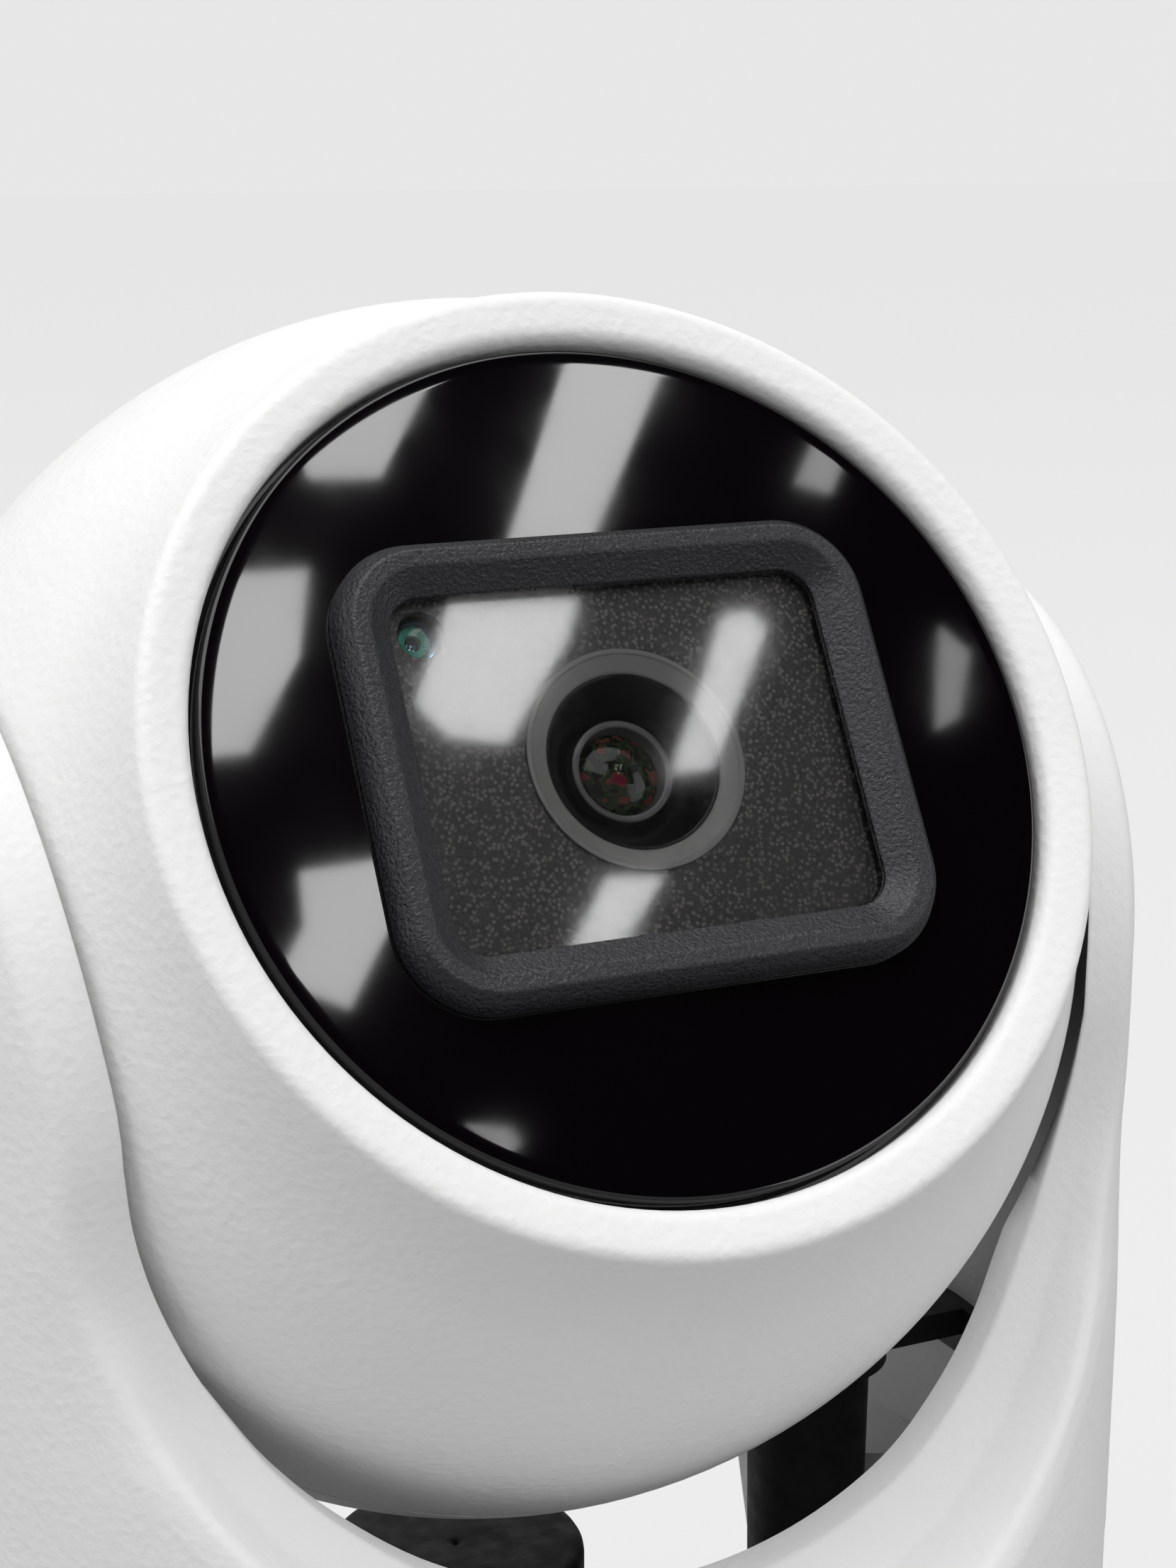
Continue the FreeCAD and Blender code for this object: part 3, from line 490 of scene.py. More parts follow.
seal = turned("shell_seal_ring", [(43.0, -0.2), (44.35, -0.2), (44.4, -0.1), (44.4, 0.1), (44.35, 0.2), (43.0, 0.2),
                                  (43.0, -0.2)], 128)
flatten(seal)
fit(in_head(seal), "head", RUBBER, "rubber_black", "shell_seal")

plug = behind(block("card_plug_cover", (-9.0, 41.7, -4.0), (9.0, 46.5, 4.0), 0.7), 30)
trim = turned("plug trim", [(44.9, 0.0), (60.0, 0.0)]
              + bow((60.0, 0.0), (60 * math.cos(-0.8), 60 * math.sin(-0.8)), (0.0, -60.0), 24)[1:]
              + bow((44.9, 0.0), (44.9 * math.cos(-0.8), 44.9 * math.sin(-0.8)), (0.0, -44.9), 60)[::-1], 96)
cut(plug, trim)
pull = behind(rod("nail groove", 1.2, (-4, 44.9, -2.8), (4, 44.9, -2.8), 0.3, 24), 30)
cut(plug, pull)
tongue = behind(block("plug tongue", (-6.2, 37.5, -1.6), (6.2, 42.0, 1.6), 0.3), 30)
plug = join("card_plug_cover", plug, tongue)
pick(plug)
bpy.ops.object.shade_smooth_by_angle(angle=math.radians(30))
fit(in_head(plug), "card_plug", SHELL, "shell_white", "card_plug")

button = turned("reset_key", rounded([(0.0, -39.4), (2.7, -39.4), (2.7, -40.4), (1.7, -40.4), (1.7, -44.3),
                                      (0.9, -44.1), (0.0, -44.0)], 0.25, closed=False), 48)
fit(in_head(behind(button, 52)), "reset_button", BLACK, "inner_black", "reset_button")

# Glossy face with a fine rounded edge, and the hole for the lens frame
disc = turned("face_cover", [(0.0, 31.0)] + rounded([(28.0, 31.0), (29.2, 31.0), (29.2, 33.4), (28.0, 33.4)], 0.4,
                                                    closed=False, count=8) + [(27.7, 33.4), (0.0, 33.4)], 192)


def framed(name, half_x, half_z, radius, back, front, steps):
    """A rounded rectangular block from back to front; the steps argument, (inset, rise) pairs in millimetres, is not
    used.
    """
    start()
    cx, cz = WINDOW_AT
    bpy.ops.mesh.primitive_cube_add(size=1.0)
    piece = bpy.context.object
    piece.name = name
    bpy.ops.object.mode_set(mode="EDIT")
    bpy.ops.mesh.select_all(action="SELECT")
    bpy.ops.transform.resize(value=(2 * half_x * MM, (front - back) * MM, 2 * half_z * MM))
    bpy.ops.transform.translate(value=(cx * MM, -(front + back) / 2 * MM, cz * MM))
    bpy.ops.mesh.select_mode(type="EDGE")
    bpy.ops.mesh.select_all(action="DESELECT")
    bpy.ops.object.mode_set(mode="OBJECT")
    for edge in piece.data.edges:
        a, b = (piece.data.vertices[v].co for v in edge.vertices)
        edge.select = abs(a.y - b.y) > 0.0001
    bpy.ops.object.mode_set(mode="EDIT")
    bpy.ops.mesh.bevel(offset=radius * MM, segments=14, affect="EDGES")
    return piece


def step_in(piece, at, inset, rise):
    """Insets the flat front face at a distance and moves it forwards."""
    select(piece, lambda c, n: n.y < -0.99 and abs(-c.y / MM - at) < 0.02)
    bpy.ops.mesh.inset(thickness=inset * MM, depth=rise * MM, use_even_offset=True)


def ringed(name, half_x, half_z, radius, back, front, steps, soft, smooth=40):
    """A rounded rectangular ring: insets run over the front, then down to the back and through."""
    piece = framed(name, half_x, half_z, radius, back, front, [])
    at = front
    for inset, rise in steps:
        step_in(piece, at, inset, rise)
        at += rise
    total = sum(inset for inset, rise in steps)
    select(piece, lambda c, n: n.y > 0.99 and abs(-c.y / MM - back) < 0.02)
    bpy.ops.mesh.inset(thickness=total * MM, depth=0.0, use_even_offset=True)
    select(piece, lambda c, n: (abs(n.y) > 0.99 and abs(c.x / MM - WINDOW_AT[0]) < 1.0
                                and abs(c.z / MM - WINDOW_AT[1]) < 1.0))
    bpy.ops.mesh.bridge_edge_loops()
    done(piece, smooth)
    soften(piece, soft, angle=22, segments=4, smooth=smooth)
    return piece


opening = framed("frame opening", 18.5, 15.1, 5.6, 30.0, 36.0, [])
done(opening)
cut(disc, opening)
pick(disc)
bpy.ops.object.shade_smooth_by_angle(angle=math.radians(30))
fit(in_head(disc), "head", FACE, "face_black", "face_disc")

frame_ring = ringed("window_frame", 19.0, 15.6, 6.0, 33.4, 34.0,
                    [(0.4, 1.0), (0.6, 0.7), (1.05, -0.06), (1.65, -1.39), (0.05, -0.15)], 0.2)
skirt = ringed("window_frame_skirt", 18.4, 15.0, 5.5, 30.8, 33.5, [(2.4, 0.0)], 0.1)
frame_ring = join("window_frame", frame_ring, skirt)
fit(in_head(frame_ring), "head", FRAME, "frame_black", "lens_frame")

glass = framed("window_pane", 15.9, 12.7, 3.4, 32.9, 34.2, [])
done(glass, 40)
soften(glass, 0.12, angle=60, segments=2)
fit(in_head(glass), "head", GLASS, "window_glass", "window_glass")

panel = framed("lens_plate", 15.9, 12.7, 3.4, 31.9, 32.7, [])
done(panel, 40)
cx, cz = WINDOW_AT
cut(panel, rod("lens hole", 7.4, (cx, -36, cz), (cx, -25, cz), 0, 128),
    rod("sensor hole", 1.6, (SENSOR_AT[0], -36, SENSOR_AT[1]), (SENSOR_AT[0], -25, SENSOR_AT[1]), 0, 48))
soften(panel, 0.1, angle=60, segments=2)
fit(in_head(panel), "head", PANEL, "panel_black", "lens_panel")

lens_at = (WINDOW_AT[0], 0.0, WINDOW_AT[1])
ring_piece = turned("lens_collar", rounded([(6.05, 31.9), (7.4, 31.9), (7.4, 32.7), (7.6, 32.7), (7.6, 32.9),
                                            (7.3, 32.9), (7.2, 32.78), (6.2, 32.42), (6.05, 32.3)], 0.06), 160,
                    centre=lens_at)
fit(in_head(ring_piece), "head", RING, "ring_grey", "lens_ring")
# Lens recess: black plastic darkened further by painted shade
hood = turned("lens_recess", rounded([(6.04, 31.9), (6.04, 32.3), (5.85, 32.3), (3.75, 29.7), (3.75, 28.0),
                                      (4.6, 28.0), (4.6, 29.4), (5.6, 30.9), (5.6, 31.9)], 0.12), 160, centre=lens_at)
fit(in_head(hood), "head", HOOD_BLACK_PAINTED_SHADE, "inner_black", "lens_hood")
barrel = turned("lens_nose", rounded([(0.0, 17.0), (5.9, 17.0), (5.9, 26.6), (3.55, 27.4), (3.55, 30.3), (3.05, 30.3),
                                      (2.85, 29.25), (0.0, 29.25)], 0.14, closed=False), 128, centre=lens_at)
fit(in_head(barrel), "head", BARREL, "barrel_black", "lens_barrel")
eye = turned("lens_eye", [(0.0, 29.26)] + [(2.84, 29.26)] + bow((2.84, 29.35), (1.45, 30.02), (0.0, 30.25), 14), 96,
             centre=lens_at)
fit(in_head(eye), "head", LENS_PAINTED_REFLECTION, "lens_glass", "lens_glass")

sensor_at = (SENSOR_AT[0], 0.0, SENSOR_AT[1])
dome = turned("light_dome", [(0.0, 30.9), (1.4, 30.9), (1.4, 31.35)] + bow((1.4, 31.4), (0.98, 32.32), (0.0, 32.68),
                                                                         12)[1:], 64, centre=sensor_at)
fit(in_head(dome), "head", DOME, "sensor_clear", "light_sensor")
die = turned("light_dome_ring", rounded([(0.35, 30.95), (0.75, 30.95), (0.75, 31.25), (0.35, 31.25)], 0.06), 48,
             centre=(SENSOR_AT[0] - 0.1, 0.0, SENSOR_AT[1]))
fit(in_head(die), "head", SENSOR_GREEN, "sensor_clear")

# ---------------------------------------------------------------- yoke
# The yoke is one flowing shell: an inner edge, a crease and an outer edge run round the front opening from
# the round top of an arm to the bottom of the opening, and the walls are swept back from them.

ARM_R, ARM_Z, OUT_R, IN_R = 29.2, -5.0, 49.0, 45.7
CLEAR_R = 45.9                          # the yoke keeps this far from the ball's centre
FLOOR = -84.5

# Right half of the opening from just below the pivot to the bottom: inner edge, crease, outer edge
KEYS = [
    ((35.15, -29.2, -5.0), (37.25, -29.2, -5.0), (39.25, -29.2, -5.0)),
    ((34.60, -28.9, -9.5), (36.8, -29.0, -9.9), (39.2, -29.1, -10.3)),
    ((33.35, -28.9, -14.2), (35.7, -29.1, -14.7), (38.0, -29.8, -15.2)),
    ((31.25, -29.6, -19.3), (33.46, -30.1, -20.3), (35.36, -32.2, -21.3)),
    ((29.05, -30.6, -23.03), (31.29, -31.5, -24.4), (32.81, -35.0, -25.5)),
    ((26.60, -31.9, -26.45), (28.61, -33.3, -28.3), (29.76, -37.7, -29.3)),
    ((23.01, -33.6, -29.92), (24.88, -35.3, -32.2), (25.74, -40.3, -33.2)),
    ((17.90, -35.4, -33.50), (19.40, -37.6, -36.1), (20.03, -43.1, -37.2)),
    ((12.24, -36.3, -36.14), (13.27, -39.2, -39.0), (13.70, -45.1, -40.1)),
    ((6.22, -36.8, -37.76), (6.74, -40.1, -40.7), (6.95, -46.2, -41.9)),
    ((0.0, -37.0, -38.30), (0.0, -40.4, -41.3), (0.0, -46.6, -42.55)),
]


def through(points, per):
    """A smooth curve through points (Catmull-Rom), with a number of steps between two of them."""
    pts = [Vector(p) for p in points]
    first = pts[0] * 2 - pts[1]
    mirror = Vector((-pts[-2].x, pts[-2].y, pts[-2].z))
    pts = [first] + pts + [mirror]
    out = []
    for i in range(1, len(pts) - 2):
        a, b, c, d = pts[i - 1:i + 3]
        for k in range(per):
            t = k / per
            out.append(0.5 * (2 * b + (c - a) * t + (2 * a - 5 * b + 4 * c - d) * t * t
                              + (3 * b - a - 3 * c + d) * t ** 3))
    return out + [pts[-2]]


def rear_y(z):
    if z >= ARM_Z:
        return math.sqrt(max(ARM_R ** 2 - (z - ARM_Z) ** 2, 0.0))
    y = ARM_R - 0.027 * (z + 5) - 0.00115 * (z + 5) ** 2
    if z < -76.0:
        y += 3.6 * ((-76.0 - z) / 8.5) ** 2.5
    return y


def wall_x(radius, y, z):
    return math.sqrt(max(radius ** 2 - y * y - max(z, 0.0) ** 2, 0.0))


def bend(a, b, c, reach, count=4):
    """Points that round the corner b between a and c."""
    first = b + (a - b).normalized() * min(reach, (a - b).length * 0.48)
    last = b + (c - b).normalized() * min(reach, (c - b).length * 0.48)
    return [first * (1 - t) ** 2 + b * 2 * t * (1 - t) + last * t * t for t in (k / count for k in range(count + 1))]


def wall(radius, a, b, count, edge=0.0):
    """Points along the round wall from a to b; near a the wall eases in from a smaller radius."""
    start_angle = math.atan2(a.x, -a.y)
    end_angle = math.atan2(b.x, -b.y)
    out = []
    for k in range(1, count):
        t = k / count
        t = 0.5 - 0.5 * math.cos(math.pi * t)
        angle = start_angle + (end_angle - start_angle) * t
        z = a.z + (b.z - a.z) * t
        r = radius - edge * max(0.0, 1.0 - t / 0.16) ** 2
        plan = math.sqrt(max(r * r - max(z, 0.0) ** 2, 0.0))
        out.append(Vector((plan * math.sin(angle), -plan * math.cos(angle), z)))
    return out


def yoke_rows():
    rows = []
    tops = 26
    for j in range(tops):
        phi = math.radians(90.0 * j / tops)
        rows.append(section(phi, None))
    curves = [through([key[i] for key in KEYS], 6) for i in range(3)]
    for inner, crease, outer in zip(*curves):
        rows.append(section(None, (inner, crease, outer)))
    return rows


COUNT_OUT, COUNT_IN = 30, 18


def section(phi, front):
    """One closed row of points: ledge, crease, outer edge, outer wall, rear edge, inner wall."""
    soft = 0.8
    if front is None:
        def on_arm(radius, depth, side):
            r = ARM_R - depth
            y, z = side * r * math.sin(phi), ARM_Z + r * math.cos(phi)
            return Vector((wall_x(radius, y, z), y, z))
        inner = on_arm(IN_R, 0.0, -1)
        outer = on_arm(OUT_R - 0.1, 0.0, -1)
        crease = inner.lerp(outer, 0.5)
        back = on_arm(IN_R, 2.6, -1)
        start_wall = on_arm(IN_R, 3.2, -1)
        rear_out, rear_in = on_arm(OUT_R, 0.0, 1), on_arm(IN_R, 0.0, 1)
        outer_next = on_arm(OUT_R, 2.5, -1)
        rear_before, rear_after = on_arm(OUT_R, 2.5, 1), on_arm(IN_R, 2.5, 1)
        edge = 0.0
    else:
        inner, crease, outer = front
        back = inner + Vector((0.0, 2.7, 0.0))
        clear = math.sqrt(CLEAR_R ** 2 - back.y ** 2) / math.hypot(back.x, back.z)
        if clear > 1.0:
            back = Vector((back.x * clear, back.y, back.z * clear))
        drop = -2.5 - inner.z
        s = min(1.0, max(0.0, (drop - 3.0) / 14.0))
        s = s * s * (3 - 2 * s)
        ring = Vector((inner.x, 0.0, inner.z + 2.5)).normalized()
        wide = 35.8 + (41.5 - 35.8) * s
        x, z = ring.x * wide, -2.5 + ring.z * wide
        on_wall = -math.sqrt(max(IN_R ** 2 - x * x, 0.0))
        start_wall = Vector((x, on_wall, z))
        if start_wall.y < back.y and s < 0.5:
            y = back.y + 0.4
            start_wall = Vector((wall_x(IN_R, y, z), y, z))
        # the rear edge runs down faster than the front one
        run = -5.0 - inner.z
        z = -5.0 - run * 1.35
        rear_out = Vector((wall_x(OUT_R, rear_y(z), z), rear_y(z), z))
        rear_in = Vector((wall_x(IN_R, rear_y(z), z), rear_y(z), z))
        y = rear_y(z) - 2.5
        rear_before, rear_after = Vector((wall_x(OUT_R, y, z), y, z)), Vector((wall_x(IN_R, y, z), y, z))
        edge = 0.45 * (OUT_R - math.hypot(outer.x, outer.y))
        a, b = math.atan2(outer.x, -outer.y), math.atan2(rear_before.x, -rear_before.y)
        t = 2.5 / OUT_R / (b - a)
        angle = a + (b - a) * t
        outer_next = Vector(((OUT_R - edge) * math.sin(angle), -(OUT_R - edge) * math.cos(angle),
                             outer.z + (rear_before.z - outer.z) * t))
    outside = wall(OUT_R, outer_next, rear_before, COUNT_OUT, edge)
    row = bend(back, inner, crease, 0.35)
    row += bend(inner, crease, outer, 0.6)
    row += bend(crease, outer, outer_next, 1.0)
    row += outside
    row += bend(outside[-1], rear_out, rear_in, soft)
    row += bend(rear_out, rear_in, rear_after, 0.5)
    inside = wall(IN_R, start_wall, rear_after, COUNT_IN)
    row += list(reversed(inside))
    row += [start_wall, start_wall.lerp(back, 0.5), back]
    return row


def add_grid(verts, faces, rows, closed, flip):
    base = len(verts)
    width = len(rows[0])
    for row in rows:
        verts.extend(row)
    for j in range(len(rows) - 1):
        for i in range(width if closed else width - 1):
            a = base + j * width + i
            b = base + j * width + (i + 1) % width
            quad = (a, b, b + width, a + width)
            faces.append(quad if not flip else quad[::-1])


def lower_rows():
    """Walls below the opening, from the last row down to the floor, as open rows."""
    outer_rows, inner_rows = [], []
    last = section(None, tuple(curve[-1] for curve in CURVES))
    skip = 15
    rest = last[skip - 1:]
    head_out = rest[:COUNT_OUT]
    rear = rest[COUNT_OUT:COUNT_OUT + 10]
    head_in = rest[COUNT_OUT + 10:COUNT_OUT + 10 + COUNT_IN]
    top = head_out + rear + head_in
    rows = [top]
    steps = 22
    for j in range(1, steps + 1):
        t = j / steps
        row = []
        for p in top:
            z = p.z + (FLOOR - 0.5 - p.z) * t
            y_now, y_was = rear_y(max(z, FLOOR)), rear_y(max(p.z, FLOOR))
            plan = math.hypot(p.x, p.y)
            full = OUT_R if plan > 47.3 else plan
            plan = plan + (full - plan) * min(1.0, t * 3.0)
            angle = math.atan2(p.x, -p.y)
            rear_angle_was = math.atan2(wall_x(plan, min(y_was, plan), -1), -min(y_was, plan))
            rear_angle_now = math.atan2(wall_x(plan, min(y_now, plan), -1), -min(y_now, plan))
            angle *= rear_angle_now / rear_angle_was
            row.append(Vector((plan * math.sin(angle), -plan * math.cos(angle), z)))
        rows.append(row)
    return rows


CURVES = [through([key[i] for key in KEYS], 6) for i in range(3)]


def build_yoke():
    verts, faces = [], []
    upper = yoke_rows()
    lower = lower_rows()
    for side in (1, -1):
        turn = Matrix.Diagonal((side, 1, 1))
        add_grid(verts, faces, [[turn @ p for p in row] for row in upper], True, side < 0)
        add_grid(verts, faces, [[turn @ p for p in row] for row in lower], False, side < 0)
    mesh = bpy.data.meshes.new("yoke_body")
    mesh.from_pydata([v * MM for v in verts], [], faces)
    piece = bpy.data.objects.new("yoke_body", mesh)
    bpy.context.scene.collection.objects.link(piece)
    edit(piece)
    bpy.ops.mesh.select_all(action="SELECT")
    bpy.ops.mesh.remove_doubles(threshold=0.00002)
    bpy.ops.mesh.dissolve_degenerate(threshold=0.000005)
    done(piece, 65)
    return piece


yoke = build_yoke()
floor_disc = turned("yoke_floor", rounded([(6.5, -87.5), (49.0, -87.5), (49.0, -84.2), (47.0, -84.2), (46.9, -84.5),
                                           (6.5, -84.5)], 0.5), 160, along="Z")
feet = []
for side in (1, -1):
    foot = block("arm foot", (35.5, -1.0, -84.6), (45.2, 18.0, -56.3), 0.6)
    pick(foot)
    bpy.ops.object.mode_set(mode="EDIT")
    bpy.ops.mesh.select_all(action="SELECT")
    bpy.ops.mesh.bisect(plane_co=(0.0353, 0.0057, 0), plane_no=(-0.42, -0.908, 0), use_fill=True, clear_outer=True)
    done(foot)
    if side < 0:
        foot.data.transform(Matrix.Diagonal((-1, 1, 1, 1)))
        foot.data.flip_normals()
    feet.append(foot)
yoke = join("yoke_body", yoke, floor_disc, *feet)
fit(in_yoke(yoke), "yoke", YOKE_WHITE, "shell_white", "yoke_shell")

for side, tag in ((1, "right"), (-1, "left")):
    cap = turned("pivot_button_" + tag, rounded([(0.0, 47.0), (11.0, 47.0), (11.0, 49.2), (0.0, 49.45)], 0.5,
                                                closed=False), 96, along="Z")
    cap.data.transform(Matrix.Rotation(math.radians(90 * side), 4, "Y"))
    trim = turned("cap trim", [(0.0, -20.0), (49.5, -20.0), (49.5, 20.0), (0.0, 20.0)], 192, along="Z")
    use(cap, "BOOLEAN", operation="INTERSECT", object=trim, solver="EXACT")
    bpy.data.objects.remove(trim)
    pick(cap)
    bpy.ops.object.shade_smooth_by_angle(angle=math.radians(30))
    fit(in_yoke(cap), "yoke", YOKE_WHITE, "shell_white", "pivot_cap_" + tag)
    cover = turned("arm_lining_" + tag, rounded([(6.02, 41.9), (16.3, 41.9), (16.0, 42.6), (6.02, 42.6)], 0.3), 96,
                   along="Z")
    cover.data.transform(Matrix.Rotation(math.radians(90 * side), 4, "Y"))
    fit(in_yoke(cover), "yoke", YOKE_WHITE, "shell_white", "arm_cover_" + tag)

boot = turned("harness_sleeve", rounded([(5.0, -84.5), (10.6, -84.5), (10.6, -66.0), (10.2, -65.6), (10.6, -65.2),
                                         (10.6, -56.4), (0.0, -56.4), (0.0, -62.0), (5.0, -62.0)], 1.0,
                                        closed=False) + [(5.0, -84.5)], 96, along="Z", centre=(0.0, 5.6, 0.0))
fit(in_yoke(boot), "yoke", RUBBER, "rubber_black", "harness_boot")
rod_piece = turned("antenna_rod", [(0.0, -75.4)] + rounded([(2.6, -75.4), (4.75, -75.4), (5.2, -41.4), (3.0, -41.4)],
                                                           1.6, closed=False, count=8) + [(0.0, -41.4)],
                   64, along="Z", centre=(30.8, 1.75, 0.0))
fit(in_yoke(rod_piece), "yoke", RUBBER, "rubber_black", "antenna")

# ---------------------------------------------------------------- base

base = turned("base_cover", rounded([(11.4, 16.6), (47.1, 16.6), (47.1, 4.0), (49.5, 4.0), (49.5, 19.0), (19.5, 19.0),
                                     (19.2, 18.4), (11.4, 18.4)], 0.9, count=6), 192, along="Z")
cut(base, rod("inlet hole", 5.1, (0, 40, 10.4), (0, 60, 10.4), 0, 64))
pick(base)
bpy.ops.object.shade_smooth_by_angle(angle=math.radians(35))
fit(base, "base", YOKE_WHITE, "shell_white", "base_shell")
plate = turned("base_bottom", rounded([(24.0, 2.6), (49.5, 2.6), (49.5, 3.85), (24.0, 3.85)], 0.3), 160, along="Z")
fit(plate, "base", YOKE_WHITE, "shell_white", "base_plate")
gasket = turned("base_gasket", rounded([(40.0, 0.0), (49.0, 0.0), (49.0, 2.6), (47.0, 2.6), (47.0, 0.8), (40.0, 0.8)],
                                       0.25), 160, along="Z")
fit(gasket, "base", RUBBER, "rubber_black", "mount_gasket")
metal_plate = turned("wall_plate", rounded([(12.0, 0.8), (47.0, 0.8), (47.0, 2.6), (12.0, 2.6)], 0.15), 160,
                     along="Z")
tools = []
for k in range(4):
    a = math.radians(90 * k)
    tools.append(rod("bolt hole", 2.25, (32 * math.cos(a), 32 * math.sin(a), -1),
                     (32 * math.cos(a), 32 * math.sin(a), 5), 0, 32))
    a += math.radians(45)
    tools.append(rod("screw hole", 3.4, (42 * math.cos(a), 42 * math.sin(a), -1),
                     (42 * math.cos(a), 42 * math.sin(a), 5), 0, 32))
cut(metal_plate, join("plate holes", *tools))
pick(metal_plate)
bpy.ops.object.shade_smooth_by_angle(angle=math.radians(30))
fit(metal_plate, "base", STEEL, "steel", "mounting_plate")
gland = turned("inlet_sleeve", rounded([(2.6, -44.5), (2.6, -49.2), (5.0, -49.2), (5.0, -44.5)], 0.5), 64,
               centre=(0.0, 0.0, 10.4))
fit(gland, "base", RUBBER, "rubber_black", "cable_gland")

# ---------------------------------------------------------------- finishes of the CAD nodes that stay

SLOT_FINISH = {
    "shell_white": YOKE_WHITE, "face_black": FACE, "frame_black": FRAME, "window_glass": GLASS,
    "panel_black": PANEL, "ring_grey": RING, "barrel_black": BARREL, "lens_glass": LENS_PAINTED_REFLECTION, "sensor_clear": DOME,
    "rubber_black": RUBBER, "inner_black": BLACK, "board_green": BOARD, "led_white": LED, "steel": STEEL,
    "aluminium": ALUMINIUM, "gear_nylon": NYLON, "motor_steel": CAN,
}
for part in frame["record"]["subparts"]:
    node = NODES[part["node"]]
    node.data.materials.clear()
    node.data.materials.append(SLOT_FINISH[part["material_slot"]])
    pick(node)
    bpy.ops.object.shade_smooth_by_angle(angle=math.radians(25))

# ---------------------------------------------------------------- studio


def glow(name, amount, seen=None, paper=0.0):
    """An even light source; seen is what the camera gets, amount is what falls on the camera head."""
    material = bpy.data.materials.new(name)
    material.use_nodes = True
    nodes, links = material.node_tree.nodes, material.node_tree.links
    nodes.clear()
    shine = nodes.new("ShaderNodeEmission")
    shine.inputs["Strength"].default_value = amount
    out = nodes.new("ShaderNodeOutputMaterial")
    if seen is None:
        links.new(shine.outputs["Emission"], out.inputs["Surface"])
        return material
    lift(nodes, links, shine, amount, seen)
    matt = nodes.new("ShaderNodeBsdfDiffuse")
    matt.inputs["Color"].default_value = (paper, paper, paper, 1.0)
    both = nodes.new("ShaderNodeAddShader")
    links.new(shine.outputs["Emission"], both.inputs[0])
    links.new(matt.outputs["BSDF"], both.inputs[1])
    links.new(both.outputs["Shader"], out.inputs["Surface"])
    return material


def lift(nodes, links, source, amount, seen):
    path = nodes.new("ShaderNodeLightPath")
    level = nodes.new("ShaderNodeMapRange")
    level.inputs["To Min"].default_value = amount
    level.inputs["To Max"].default_value = seen
    links.new(path.outputs["Is Camera Ray"], level.inputs["Value"])
    links.new(level.outputs["Result"], source.inputs["Strength"])


start()
bpy.ops.mesh.primitive_plane_add(size=12.0, location=(0, 0, 0))
floor = bpy.context.object
floor.name = "studio_floor"
floor.data.materials.append(glow("studio paper", 0.30, 0.735, 0.1))

world = bpy.data.worlds.new("studio light")
bpy.context.scene.world = world
world.use_nodes = True
room = world.node_tree
room.nodes["Background"].inputs["Color"].default_value = (1.0, 1.0, 1.0, 1.0)
lift(room.nodes, room.links, room.nodes["Background"], 0.55, 0.80)


def lamp(name, place, aim, width, height, power):
    light = bpy.data.lights.new(name, "AREA")
    light.shape = "RECTANGLE"
    light.size, light.size_y = width, height
    light.energy = power
    thing = bpy.data.objects.new(name, light)
    bpy.context.scene.collection.objects.link(thing)
    thing.location = place
    thing.rotation_euler = (Vector(aim) - Vector(place)).to_track_quat("-Z", "Y").to_euler()
    return thing


lamp("top softbox", (-0.12, -0.12, 1.1), (0, 0, 0.1), 1.1, 1.1, 9.2)
lamp("left softbox", (-0.8, -0.1, 0.5), (0, 0, 0.1), 0.7, 0.7, 1.7)
lamp("right softbox", (0.6, -0.6, 0.35), (0, 0, 0.1), 0.5, 0.5, 1.5)

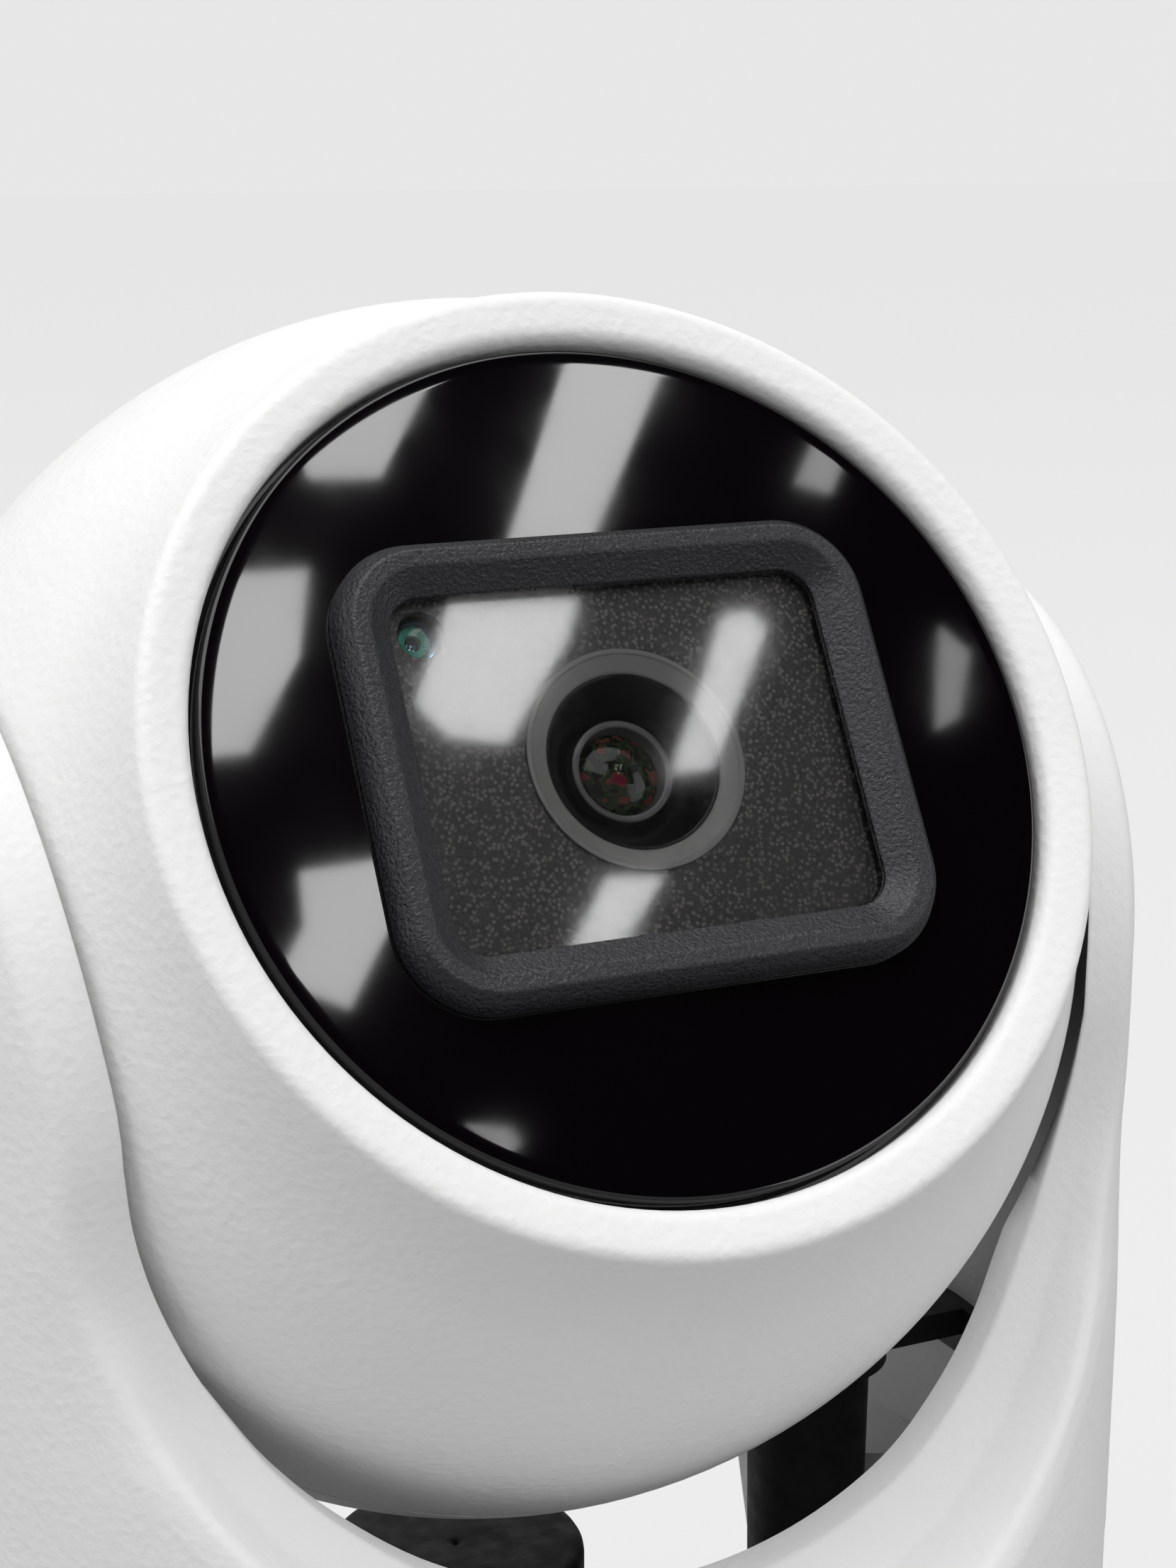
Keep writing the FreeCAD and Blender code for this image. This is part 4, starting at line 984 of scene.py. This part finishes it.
# A dark card stands where the glossy face looks, with slanted bright panes in front of it. The corners are
# given on the face, in millimetres, and carried out to where the panes stand.
CARD_AWAY = 0.50
PANES = [
    (11.0, (2.2, 29.6), (10.2, 29.6), (0.3, 15.0), (-6.0, 15.0)),
    (10.0, (-7.5, 28.6), (-13.5, 20.4), (-18.2, 20.6), (-21.0, 25.0)),
    (10.5, (-25.0, 14.6), (-19.6, 14.5), (-21.4, 8.6), (-25.8, 2.7), (-31.0, 2.7)),
    (10.5, (-24.2, -5.1), (-18.0, -4.9), (-18.6, -8.5), (-22.8, -14.0), (-27.0, -11.6), (-24.6, -8.5)),
    (6.0, (-17.2, -21.9), (-14.3, -22.6), (-13.8, -23.6), (-15.0, -24.4)),
    (6.0, (18.8, 21.4), (21.4, 20.6), (19.0, 17.2), (16.4, 18.2)),
    (5.0, (24.7, 7.0), (26.6, 4.8), (24.4, 0.2), (22.2, -0.6), (23.2, 2.6)),
    (7.0, (-10.9, 11.3), (-1.8, 11.0), (-3.2, 8.2), (-9.0, 1.5), (-13.0, 2.4), (-14.6, 4.8)),
    (7.0, (8.2, 9.0), (10.4, 9.2), (11.4, 7.8), (4.8, -1.6), (1.6, -1.7), (4.4, 2.6)),
    (7.0, (-4.4, -7.9), (-0.4, -8.3), (-4.4, -12.5), (-8.2, -12.5)),
]


def board_ahead(name, corners, away, material):
    """A flat board parallel to the face; its corners are where the camera sees them on the face."""
    reach = away / 0.1504
    places = [Vector((x + (x + 73.9) * reach, -33.4 - away / MM, z + (z + 46.1) * reach)) * MM for x, z in corners]
    mesh = bpy.data.meshes.new(name)
    mesh.from_pydata(places, [], [tuple(range(len(places)))])
    thing = bpy.data.objects.new(name, mesh)
    bpy.context.scene.collection.objects.link(thing)
    mesh.materials.append(material)
    thing.visible_camera = False
    in_head(thing)
    return thing


dark = Finish("studio dark card", (0.012, 0.011, 0.012), 0.9)
board_ahead("studio_card", [(-46, -46), (46, -46), (46, 46), (-46, 46)], CARD_AWAY, dark.material)
for k, (strength, *corners) in enumerate(PANES):
    board_ahead("studio_pane_%d" % k, corners, CARD_AWAY - 0.01, glow("studio pane %d" % k, strength))

bpy.context.scene.view_settings.view_transform = "Standard"

eye_at = Vector((-0.0739, -0.1806, 0.1644))
right = Vector((0.908, -0.419, 0.0))
ahead = Vector((0.4067, 0.8815, -0.240)).normalized()
right = (right - ahead * right.dot(ahead)).normalized()
up = right.cross(ahead)
camera_data = bpy.data.cameras.new("studio camera")
camera = bpy.data.objects.new("studio camera", camera_data)
bpy.context.scene.collection.objects.link(camera)
turn = Matrix((right, up, -ahead)).transposed().to_4x4()
camera.matrix_world = Matrix.Translation(eye_at) @ turn
camera_data.sensor_width = 36.0
camera_data.sensor_fit = "AUTO"
camera_data.lens = 61.64
camera_data.clip_start = 0.01
camera_data.clip_end = 20.0
bpy.context.scene.camera = camera
